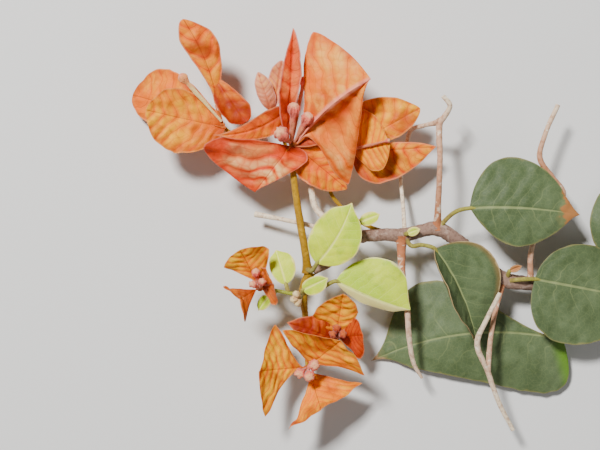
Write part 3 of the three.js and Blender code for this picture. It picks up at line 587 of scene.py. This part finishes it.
def wings(spec, grid, relief, seed):
    """The two wings of a blade as one sheet of points, with each point's distance from the rib
    and from the margin, its share along the rib and its share across the wing, and the length."""
    rows, columns = grid["rows"], grid["columns"]
    base, tip = np.array(spec["base"], float), np.array(spec["tip"], float)
    length = np.linalg.norm(tip - base)
    forward = (tip - base) / length
    up = unit(UP - forward * forward[2])
    sideways = np.cross(forward, up)
    turn = math.radians(spec.get("roll", 0))
    face = np.cos(turn) * up + np.sin(turn) * sideways
    across = np.cross(forward, face)
    bow, sweep = spec.get("bow", 0), spec.get("sweep", 0)
    u = 0.5 - 0.5 * np.cos(math.pi * np.arange(rows + 1) / rows)
    arch = (4 * u * (1 - u) * length)[:, None]
    slope = (4 * (1 - 2 * u))[:, None]
    rib = base + forward * (u * length)[:, None] + up * bow * arch + sideways * sweep * arch
    tangent = unit(forward + up * bow * slope + sideways * sweep * slope)
    share = np.arange(1, columns + 1) / columns
    halves = []
    for name, side in (("left", -1), ("right", 1)):
        shape = spec[name]
        uneven = 1 + relief["ragged"] * ripple(rib + side * WINGS_APART * across, RAGGED_SIZE, seed + 3)
        width = width_at(shape, u, relief["pointed"], relief["beak"]) * uneven
        lean = math.radians(shape["rake"])
        outward = across * side * math.cos(lean) + tangent * math.sin(lean)
        tilt = np.radians(shape["lift"] + shape["curl"] * (share - 0.5 / columns))
        run, rise = np.cumsum(np.cos(tilt)) / columns, np.cumsum(np.sin(tilt)) / columns
        spots = rib[:, None] + width[:, None, None] * (
            outward[:, None] * run[None, :, None] + face * rise[None, :, None])
        halves.append((spots, width[:, None] * share, width[:, None] * (1 - share)))
    (left, left_far, left_edge), (right, right_far, right_edge) = halves
    sheet = np.concatenate([left[:, ::-1], rib[:, None], right], axis=1)
    far = np.concatenate([left_far[:, ::-1], 0 * u[:, None], right_far], axis=1)
    middle = np.minimum(left_edge[:, :1], right_edge[:, :1])
    margin = np.concatenate([left_edge[:, ::-1], middle, right_edge], axis=1)
    side_share = np.concatenate([-share[::-1], [0], share])[None, :] + 0 * far
    return sheet, far, margin, u[:, None] + 0 * far, side_share, length


def normals(sheet):
    """The directions that a sheet of points faces."""
    ahead = np.gradient(sheet, axis=0)
    beside = np.gradient(sheet, axis=1)
    return unit(np.cross(beside, ahead))


def closed(sheet, half):
    """Corners and faces of a closed body round a sheet, half as thick to either side."""
    normal = normals(sheet)
    upper = sheet + normal * half[..., None]
    lower = sheet - normal * half[..., None]
    low = sheet.shape[0] * sheet.shape[1]
    index = np.arange(low).reshape(sheet.shape[:2])
    a, b, c, d = index[:-1, :-1], index[:-1, 1:], index[1:, 1:], index[1:, :-1]
    faces = [np.stack([a, b, c, d], -1), np.stack([d + low, c + low, b + low, a + low], -1)]
    rims = [
        (index[:-1, 0], index[1:, 0]),
        (index[1:, -1], index[:-1, -1]),
        (index[0, 1:], index[0, :-1]),
        (index[-1, :-1], index[-1, 1:]),
    ]
    faces += [np.stack([p, q, q + low, p + low], -1) for p, q in rims]
    corners = np.vstack([upper.reshape(-1, 3), lower.reshape(-1, 3)])
    return corners, np.vstack([face.reshape(-1, 4) for face in faces]).tolist()


def blade(spec, thick, grid, veins, relief, seed):
    """A thin blade: a rib from base to tip with a wing on either side, veins that climb from
    the rib to the margin, and the swelling between them."""
    sheet, far, margin, along, side, length = wings(spec, grid, relief, seed)
    out = np.abs(side)
    wide = far + margin
    phase = veins["count"] * (along - veins["climb"] * far / length - veins["arc"] * out ** 2)
    phase = phase + STAGGER * side * np.exp(-out)
    phase = phase + WANDER * ripple(sheet, WANDER_SIZE, seed) + JITTER * ripple(sheet, JITTER_SIZE, seed + 2)
    room = smooth(wide, *ROOM) * smooth(along, *BASE_RISE) * smooth(along, *TIP_FALL)
    swell = np.sin(math.pi * phase) ** 2 - 0.5
    swell = swell * (SWELL_EVEN + SWELL_UNEVEN * ripple(sheet, SWELL_SIZE, seed + 4))
    height = relief["quilt"] * min(1, length / RELIEF_LENGTH) * swell * room
    height = height * smooth(out, *RIB_RISE) * smooth(out, *MARGIN_FALL)
    height -= relief["groove"] * np.exp(-((far / GROOVE_WIDE) ** 2)) * smooth(along, *GROOVE_FALL)
    height += relief["crumple"] * ripple(sheet, CRUMPLE_SIZE, seed + 1) * room
    beat = np.sin(math.tau * (relief["waves"] * along + WAVE_SHIFT * seed + WAVE_LAG * np.sign(side)))
    middle = np.sin(math.pi * along)
    height += relief["wave"] * out ** WAVE_CURVE * beat * middle * smooth(wide, *WAVE_ROOM)
    if "fold" in relief:
        trough = smooth(side, *FOLD_RISE) * smooth(side, *FOLD_FALL)
        height -= relief["fold"] * trough * middle
    half = 0.5 * thick * (1 - (1 - MARGIN_THICK) * out ** 4) * smooth(wide, *THIN_ROOM)
    corners, faces = closed(sheet + normals(sheet) * height[..., None], half)
    marks = dict(zip(BLADE_MARKS, (phase, far, margin, along, side)))
    return corners, faces, {mark: np.tile(values.ravel(), 2) for mark, values in marks.items()}


def piece(name, parts, paint, node):
    """A drawn piece that stands for a node of the part and rides on its body."""
    corners, faces, marks = parts
    mesh = bpy.data.meshes.new(name)
    mesh.from_pydata(((corners + FORK) * METRES).tolist(), [], faces)
    for mark, values in marks.items():
        mesh.attributes.new(mark, "FLOAT", "POINT").data.foreach_set("value", values.astype(np.float32))
    mesh.materials.append(PAINTS[paint])
    mesh.shade_smooth()
    mesh.set_sharp_from_angle(angle=math.radians(SHARP_ANGLE))
    shown = bpy.data.objects.new(name, mesh)
    bpy.context.scene.collection.objects.link(shown)
    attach(shown, "root")
    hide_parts(node)


def colour(code):
    """A screen colour such as "f0782c" as the linear colour that a shader takes."""
    parts = [int(code[k:k + 2], 16) / 255 for k in (0, 2, 4)]
    return [p / 12.92 if p <= 0.04045 else ((p + 0.055) / 1.055) ** 2.4 for p in parts] + [1]


class Paint:
    """A material that is built up in coats of colour. Masks are numbers from 0 to 1."""

    def __init__(self, name, under, roughness, sheen=0.0):
        self.material = bpy.data.materials.new(name)
        self.material.use_nodes = True
        self.tree = self.material.node_tree
        self.shader = self.tree.nodes["Principled BSDF"]
        self.shader.inputs["Roughness"].default_value = roughness
        self.shader.inputs["Sheen Weight"].default_value = sheen
        self.shader.inputs["Sheen Roughness"].default_value = 0.5
        self.shader.inputs["Specular IOR Level"].default_value = 0.22
        self.place = self.tree.nodes.new("ShaderNodeTexCoord").outputs["Object"]
        self.tone = colour(under)

    def feed(self, value, socket):
        if isinstance(value, bpy.types.NodeSocket):
            self.tree.links.new(value, socket)
        else:
            socket.default_value = value

    def node(self, kind, values=(), **settings):
        made = self.tree.nodes.new(kind)
        for key, setting in settings.items():
            setattr(made, key, setting)
        for key, value in dict(values).items():
            self.feed(value, made.inputs[key])
        return made

    def attribute(self, name):
        return self.node("ShaderNodeAttribute", attribute_name=name).outputs["Fac"]

    def math(self, operation, *values):
        return self.node("ShaderNodeMath", enumerate(values), operation=operation).outputs[0]

    def times(self, *values):
        return self.math("MULTIPLY", *values)

    def step(self, value, low, high, start=0.0, end=1.0):
        """start where the value is at low, end where it is at high, with a soft step between."""
        values = {"Value": value, "From Min": low, "From Max": high, "To Min": start, "To Max": end}
        return self.node("ShaderNodeMapRange", values, interpolation_type="SMOOTHSTEP").outputs["Result"]

    def noise(self, scale, detail, warp=0.0):
        values = {"Vector": self.place, "Scale": scale, "Detail": detail, "Distortion": warp}
        return self.node("ShaderNodeTexNoise", values).outputs["Fac"]

    def vector(self, operation, values):
        return self.node("ShaderNodeVectorMath", values, operation=operation).outputs[0]

    def cells(self, scale, wander):
        """Distance to the nearest border of a net of cells, as a share of a cell."""
        drift = self.node("ShaderNodeTexNoise", {"Vector": self.place, "Scale": 0.6 * scale}).outputs["Color"]
        drift = self.vector("SUBTRACT", {0: drift, 1: (0.5, 0.5, 0.5)})
        drift = self.vector("SCALE", {0: drift, "Scale": wander})
        values = {"Vector": self.vector("ADD", {0: self.place, 1: drift}), "Scale": scale}
        return self.node("ShaderNodeTexVoronoi", values, feature="DISTANCE_TO_EDGE").outputs["Distance"]

    def coat(self, mask, code):
        """Lays a colour over what is there, where the mask is above 0."""
        made = self.node("ShaderNodeMix", data_type="RGBA")
        for socket, value in zip(MIX_SOCKETS, (mask, self.tone, colour(code))):
            self.feed(value, made.inputs[socket])
        self.tone = made.outputs[MIX_RESULT]

    def finish(self, height=None, depth=0.0001, strength=0.5, roughness=None):
        """The material, with its coats as its colour and a fine surface from the height."""
        self.feed(self.tone, self.shader.inputs["Base Color"])
        if roughness is not None:
            self.feed(roughness, self.shader.inputs["Roughness"])
        if height is not None:
            bump = self.node("ShaderNodeBump", {"Height": height, "Strength": strength, "Distance": depth})
            self.feed(bump.outputs["Normal"], self.shader.inputs["Normal"])
        return self.material


def bract_paint(name, deep, body, painted_light, vein, edge, warm=0.85, base_reach=0.3, flush=None, flush_side=1,
                fold=None, rib=None, painted_highlight="ffac28"):
    """Papery bract: darker veins that fork to the margin, a faint net of fine veins and a thin pale
    margin. The swellings between the veins carry painted light and painted highlights, and so does
    the middle of each wing; painted shade lies at the base, in blotches, towards the margin and,
    where given, in the crease by the rib. One side can be flushed."""
    p = Paint(name, body, 0.6)
    phase, across, margin, along, side = (p.attribute(mark) for mark in BLADE_MARKS)
    out = p.math("ABSOLUTE", side)
    beat = p.math("PINGPONG", phase, 0.5)
    net = p.cells(BRACT_NET, wander=0.003)
    pillow = p.step(net, 0.0, 0.32)
    crest = p.times(p.step(beat, 0.03, 0.34), p.math("MULTIPLY_ADD", pillow, 0.4, 0.6))
    patches = p.step(p.noise(PATCHES, 2), 0.3, 0.68)
    # Painted light on the crests of the swellings, in patches
    lift = p.times(p.times(crest, patches), warm)
    p.coat(lift, painted_light)
    # A flushed side, thinner where the painted light lies; on the lobe it is painted shade
    if flush:
        flushed = p.step(p.times(side, flush_side), -0.05, 0.3, 0, 0.8)
        p.coat(p.times(flushed, p.step(lift, 0, 1, 1, 0.45)), flush)
    # Painted shade in the crease beside the rib
    if fold:
        p.coat(p.times(p.step(side, 0.0, 0.06), p.step(side, 0.14, 0.5, 0.8, 0)), fold)
    # Painted light halfway between the rib and the margin, in the same patches
    mid_wing = p.step(p.math("PINGPONG", out, 0.5), 0.1, 0.5, 0, 0.45)
    p.coat(p.times(mid_wing, patches), painted_light)
    # Painted highlights on some crests of the swellings
    p.coat(p.times(p.step(p.noise(GLINTS, 2), 0.46, 0.66, 0, 0.7), crest), painted_highlight)
    # Painted shade in blotches, towards the margin and at the base
    p.coat(p.step(p.noise(BLOTCHES, 3, warp=0.4), 0.5, 0.68, 0, 0.7), deep)
    p.coat(p.step(out, 0.68, 1.0, 0, 0.45), deep)
    p.coat(p.step(along, 0.0, base_reach, 0.9, 0), deep)
    fine = p.step(net, 0.0, 0.05, 0.2, 0)
    between = p.math("PINGPONG", p.math("ADD", phase, 0.5), 0.5)
    forks = p.times(p.step(between, 0.0, 0.05, 0.35, 0), p.step(out, 0.35, 0.6))
    lines = p.math("MAXIMUM", p.step(beat, 0.0, 0.05, 0.5, 0), forks)
    p.coat(p.math("MAXIMUM", lines, fine), vein)
    if rib:
        p.coat(p.step(across, 0.3, 1.8, 0.7, 0), rib)
    else:
        p.coat(p.step(across, 0.1, 0.38, 0.55, 0), vein)
    p.coat(p.step(margin, 0.1, 0.8, 0.55, 0), edge)
    grain = p.noise(FINE_GRAIN, 2)
    height = p.math("ADD", pillow, p.times(grain, 0.25))
    return p.finish(height, depth=0.00014, strength=0.6, roughness=p.step(grain, 0.3, 0.7, 0.5, 0.7))


def leaf_paint(name, body, light, vein, edge, shade, brown=None, brown_from=1.2, gloss=0.5, flush=None,
               heel=None, scorch=None):
    """Leaf: a pale midrib and a faint net of veins in an uneven green, with a pale margin. Some
    have a dried tip or margin, a fresher base, or a wing that shows its back."""
    p = Paint(name, body, gloss)
    phase, across, margin, along, side = (p.attribute(mark) for mark in BLADE_MARKS)
    beat = p.math("PINGPONG", phase, 0.5)
    p.coat(p.step(p.noise(PATCHES, 4), 0.35, 0.65), light)
    p.coat(p.step(p.noise(MOTTLES, 3, warp=0.5), 0.5, 0.72, 0, 0.5), shade)
    if flush:
        p.coat(p.step(side, 0.02, 0.12, 0, 0.9), flush)
    if heel:
        p.coat(p.step(along, 0.02, 0.09, 0.7, 0), heel)
    net = p.step(p.cells(LEAF_NET, wander=0.0012), 0.0, 0.08, 0.16, 0)
    branches = p.times(p.step(beat, 0.0, 0.045, 1, 0), p.step(across, 0, 16, 0.42, 0.08))
    p.coat(p.math("MAXIMUM", net, branches), vein)
    rib_width = p.step(along, 0.2, 1.0, 0.8, 0.35)
    p.coat(p.step(p.math("DIVIDE", across, rib_width), 0.4, 0.95, 0.8, 0), vein)
    if scorch:
        p.coat(p.step(margin, 0.4, 3.4, 0.6, 0), scorch)
    rough_edge = p.times(margin, p.step(p.noise(EDGE_WAVES, 2), 0.3, 0.7, 0.6, 1.8))
    p.coat(p.step(rough_edge, 0.1, 1.0, 0.75, 0), edge)
    p.coat(p.step(p.noise(SPECKS, 1), 0.7, 0.76, 0, 0.25), light)
    if brown:
        wavy = p.math("ADD", along, p.step(p.noise(BROWN_WAVES, 3), 0.2, 0.8, -0.06, 0.06))
        p.coat(p.step(wavy, brown_from - 0.05, brown_from - 0.01, 0, 0.35), edge)
        p.coat(p.step(wavy, brown_from - 0.012, brown_from + 0.012), brown)
    grain = p.noise(LEAF_GRAIN, 2)
    height = p.math("ADD", p.times(branches, -0.8), p.times(grain, 0.4))
    roughness = p.step(grain, 0.3, 0.7, gloss - 0.06, gloss + 0.1)
    return p.finish(height, roughness=roughness)


def stem_paint(name, low, high, dark, mark, streak=900.0, roughness=0.7, sheen=0.1):
    """Stem or twig: from one tone to another along its tint, with fine streaks and scattered
    marks."""
    p = Paint(name, low, roughness, sheen=sheen)
    p.coat(p.attribute("tint"), high)
    p.coat(p.step(p.noise(streak, 3), 0.42, 0.7, 0, 0.55), dark)
    p.coat(p.step(p.noise(STEM_MARKS, 4, warp=0.8), 0.56, 0.66, 0, 0.6), mark)
    grain = p.noise(STEM_GRAIN, 4)
    roughness = p.step(grain, 0.3, 0.7, roughness - 0.1, roughness + 0.12)
    return p.finish(grain, depth=0.00025, strength=0.7, roughness=roughness)


def flower_paint(name, tube_tone, head, tip, dark):
    """Flower: a dull tube, a velvety crinkled head and its paler tip."""
    p = Paint(name, tube_tone, 0.75, sheen=0.25)
    tint = p.attribute("tint")
    p.coat(p.step(tint, 0.25, 0.5), head)
    p.coat(p.step(tint, 0.74, 1.0, 0, 0.7), tip)
    p.coat(p.step(p.noise(VELVET, 3), 0.45, 0.7, 0, 0.5), dark)
    grain = p.noise(FINE_GRAIN, 4)
    p.coat(p.step(grain, 0.52, 0.66, 0, 0.35), tip)
    return p.finish(grain, depth=0.00035, strength=0.9)


DARK_TONES = {"body": "4c5c3a", "light": "5e6e4a", "vein": "8e9862", "edge": "86804c",
              "shade": "42522e", "gloss": 0.55}
# Bract tones: deep is painted shade, and the lighter tones laid on the swellings are painted light and
# painted highlights. Fold is painted shade in the crease by the rib. The veins, margin, flush and rib tones
# are the bract's own colours, except where noted below.
BRACT_TONES = {
    "salmon": dict(deep="a83000", body="f47400", painted_light="fca400", vein="a43c00", edge="f8a468",
                   warm=0.9, base_reach=0.46, flush="f07008", flush_side=-1),
    "amber": dict(deep="b43c00", body="f47600", painted_light="ffb800", vein="a44400", edge="f4a050",
                  warm=0.9, painted_highlight="ffb400"),
    "orange": dict(deep="a82c00", body="f87e00", painted_light="ffc800", vein="9c3c00", edge="f49c50",
                   warm=1.0, base_reach=0.34, painted_highlight="ffbc00"),
    "flame": dict(deep="a02400", body="f25c00", painted_light="fca400", vein="942e00", edge="f49c68",
                  base_reach=0.34),
    # Ember is a darker copy of the orange tones: painted shade for bracts that lie in shadow
    "ember": dict(deep="6c1000", body="a82a00", painted_light="e06000", vein="7c1c00", edge="ee8850",
                  warm=0.6, base_reach=0.35, painted_highlight="e87828"),
    "russet": dict(deep="8c2c00", body="d85e08", painted_light="f49420", vein="983c08", edge="f4a070",
                   warm=0.8, painted_highlight="f4a050"),
    # The lobe's tones are darkened as painted shade for its curled-under part, and its flush is a painted
    # shadow on one half
    "lobe": dict(deep="901800", body="bc3800", painted_light="f08400", vein="8a2800", edge="ee8c58",
                 warm=0.7, base_reach=0.05, flush="9c2000", painted_highlight="f89020"),
    "coral": dict(deep="941c00", body="dc3c00", painted_light="fa8038", vein="902400", edge="f89c84",
                  warm=0.9, base_reach=0.4, flush="ee6c3c", painted_highlight="ff9c58"),
    "rose": dict(deep="981c00", body="e44400", painted_light="ffb45c", vein="981c00", edge="f08468",
                 warm=0.95, base_reach=0.2, flush="d83c10", painted_highlight="ffcc84"),
    "peach": dict(deep="c03c00", body="f47404", painted_light="ffb448", vein="b44408", edge="f89470",
                  warm=0.9, base_reach=0.14, flush="f06800", fold="b83008", rib="f89484",
                  painted_highlight="ffc470"),
    "blush": dict(deep="b4542e", body="d97c50", painted_light="f2b090", vein="bd6044", edge="f0b0a0"),
}
PAINTS = {
    **{key: bract_paint("bract_" + key, **tones) for key, tones in BRACT_TONES.items()},
    "pale_leaf": leaf_paint("leaf_pale", "b4d40c", "d8e820", "f0f080", "f4de90", "94b80c"),
    "turned_leaf": leaf_paint("leaf_turned", "acd014", "d0e42c", "eef08c", "f6e8a8", "8eb214",
                              flush="eedf90"),
    "dark_leaf": leaf_paint("leaf_dark", **DARK_TONES),
    "browned_leaf": leaf_paint("leaf_browned", **DARK_TONES, brown="a8703e", brown_from=0.84),
    "curled_leaf": leaf_paint("leaf_curled", **{**DARK_TONES, "edge": "c0a678"}, scorch="8c6a3c"),
    "low_leaf": leaf_paint("leaf_low", **DARK_TONES, brown="b08c62", brown_from=0.93, heel="649414"),
    "young_leaf": leaf_paint("leaf_young", "8f5226", "ad6e38", "c08452", "c08a56", "743e1c", gloss=0.55),
    "bark": stem_paint("bark", "8a6c5e", "b2927e", "644a3c", "bca292", roughness=0.85, sheen=0.0),
    "cut_wood": stem_paint("cut_wood", "c89c68", "dcb888", "a87c4c", "ead0a4", streak=1600.0, sheen=0.0),
    "green_stem": stem_paint("stem_olive", "946c04", "b48806", "785400", "c4981c"),
    "young_stem": stem_paint("stem_young", "88901c", "aab440", "707814", "c0c468"),
    "leaf_stalk": stem_paint("stalk_leaf", "84683a", "a09c40", "6e5430", "b0ac54"),
    "dry_twig": stem_paint("twig_dry", "b86c42", "f6e2c2", "9c6038", "fcf0d8", streak=700.0, roughness=0.8),
    "flower": flower_paint("flower_pink", "d47850", "ec6450", "ffc890", "d03c30"),
    "flower_bud": flower_paint("flower_bud", "968a3c", "dcb078", "f4e4a8", "c08a50"),
    "flower_ember": flower_paint("flower_ember", "8a3004", "b8400c", "d06a30", "842004"),
    "flower_pale": flower_paint("flower_pale", "f4dc90", "f09c58", "f48c7c", "e89048"),
    "claw": stem_paint("claw_orange", "a2541c", "dd6814", "803c10", "e78c34", streak=1200.0),
}

for number, (name, limb) in enumerate(LIMBS.items()):
    look = limb["look"]
    shape = tube(limb["places"], limb["radii"], limb.get("tints", LIMB_TINTS), rough=LIMB_ROUGH[look],
                 seed=number * 10, flare=FLARES[look])
    piece(name + "_drawn", shape, limb.get("paint", look), name)

# The cut end shows pale wood inside its bark
ends = np.array(LIMBS["woody_branch"]["places"][:2])
outward = unit(ends[0] - ends[1])
cut = [(ends[0] + outward * depth).tolist() for depth in (-CUT_DEPTH, CUT_PROUD)]
wood = tube(cut, [CUT_RADIUS, CUT_RADIUS], seed=CUT_SEED, **CUT_TUBE)
piece("cut_end_drawn", wood, "cut_wood", "woody_branch")

forked = [tube(**arm, rough=FORKED_ROUGH, seed=FORKED_SEED + number)
          for number, arm in enumerate(FORKED_TWIG)]
piece("dry_twig_forked_drawn", joined(forked), "dry_twig", "dry_twig_forked")

for number, (name, leaf) in enumerate(LEAVES.items()):
    look = leaf["look"]
    relief = DARK_RELIEF if look == "dark_leaf" else PALE_RELIEF
    relief = {**relief, "beak": leaf.get("beak", relief["beak"])}
    length = np.linalg.norm(np.subtract(leaf["tip"], leaf["base"]))
    grid = SMALL_GRID if length < SMALL_BLADE else LEAF_GRID
    shape = blade(leaf, LEAF_THICK, grid, LEAF_VEINS, relief, LEAF_SEED + number * 10)
    piece(name + "_blade", shape, leaf.get("paint", look), name)
    line = leaf["stalk"] + [leaf["base"], inward(leaf, STALK_INTO_LEAF)]
    radii = [STALK_RADIUS * (STALK_FOOT - STALK_TAPER * k / len(line)) for k in range(len(line) - 1)]
    stalk = tube(line, radii + [FINEST_STALK], seed=STALK_SEED + number * 10, **STALK_TUBE)
    piece(name + "_stalk", stalk, "leaf_stalk", name)

for number, (name, bloom) in enumerate(BLOOMS.items()):
    pointed = bloom.get("pointed", BRACT_RELIEF["pointed"])
    claws = []
    for order, bract in enumerate(bloom["bracts"]):
        relief = {**BRACT_RELIEF, "pointed": pointed, **bract.get("relief", {})}
        veins = {**BRACT_VEINS, **bract.get("veins", {})}
        seed = BRACT_SEED + number * 40 + order * 5
        shape = blade(bract, BRACT_THICK, BRACT_GRID, veins, relief, seed)
        piece(f"{name}_bract_{order + 1}", shape, bract["look"], name)
        line = [bloom["hub"], bract["base"], inward(bract, CLAW_INTO_BRACT)]
        claws.append(tube(line, [CLAW_RADIUS, CLAW_RADIUS, FINEST_STALK], seed=order, **CLAW_TUBE))
    line = [(np.array(bloom["hub"]) + UP * rise).tolist() for rise in (-HUB_HALF, 0, HUB_HALF)]
    claws.append(tube(line, [HUB_END, HUB_RADIUS, HUB_END], **HUB_TUBE))
    piece(name + "_claws", joined(claws), "claw", name)
    buds = [bud(*flower, seed=number * 9 + order) for order, flower in enumerate(bloom["flowers"])]
    if buds:
        piece(name + "_flowers", joined(buds), bloom.get("flower_paint", "flower"), name)

buds = [bud(BUD_FOOT, head, BUD_SWELL, BUD_SEED + order) for order, head in enumerate(BUD_HEADS)]
piece("bud_cluster_drawn", joined(buds), "flower_bud", "bud_cluster")

# The floor, the light and the camera
FLOOR_REACH = 4.0
FLOOR_DEPTH = 0.0002
WORLD_LIGHT = 0.13
bpy.ops.mesh.primitive_plane_add(size=FLOOR_REACH, location=(0, 0, -FLOOR_DEPTH))
floor = bpy.context.object
floor.name = "floor"
floor.data.materials.append(Paint("floor_pale", "e4e3e0", 0.9).finish())

# Each light: its name, its place, its size and its power
LIGHTS = [
    ("key", (-0.42, 0.52, 1.15), 0.2, 29.0),
    ("fill", (0.5, -0.45, 0.7), 0.7, 1.5),
]
for name, place, size, power in LIGHTS:
    lamp = bpy.data.lights.new(name, "AREA")
    lamp.size = size
    lamp.energy = power
    shown = bpy.data.objects.new(name, lamp)
    shown.location = place
    shown.rotation_euler = Vector(place).to_track_quat("Z", "Y").to_euler()
    bpy.context.scene.collection.objects.link(shown)
world = bpy.data.worlds.new("studio")
bpy.context.scene.world = world
world.use_nodes = True
world.node_tree.nodes["Background"].inputs["Color"].default_value = (1, 1, 1, 1)
world.node_tree.nodes["Background"].inputs["Strength"].default_value = WORLD_LIGHT

# The lens stands straight above, 630 mm over the ground
VIEW_CENTRE = np.array([-3.6, 18.0, 0.0])
VIEW_HEIGHT = 630.0
camera = bpy.data.objects.new("camera", bpy.data.cameras.new("camera"))
camera.data.lens = 90
camera.data.sensor_width = 36
camera.data.clip_start = 0.05
camera.data.clip_end = 10
camera.location = ((VIEW_CENTRE + FORK + UP * VIEW_HEIGHT) * METRES).tolist()
bpy.context.scene.collection.objects.link(camera)
bpy.context.scene.camera = camera
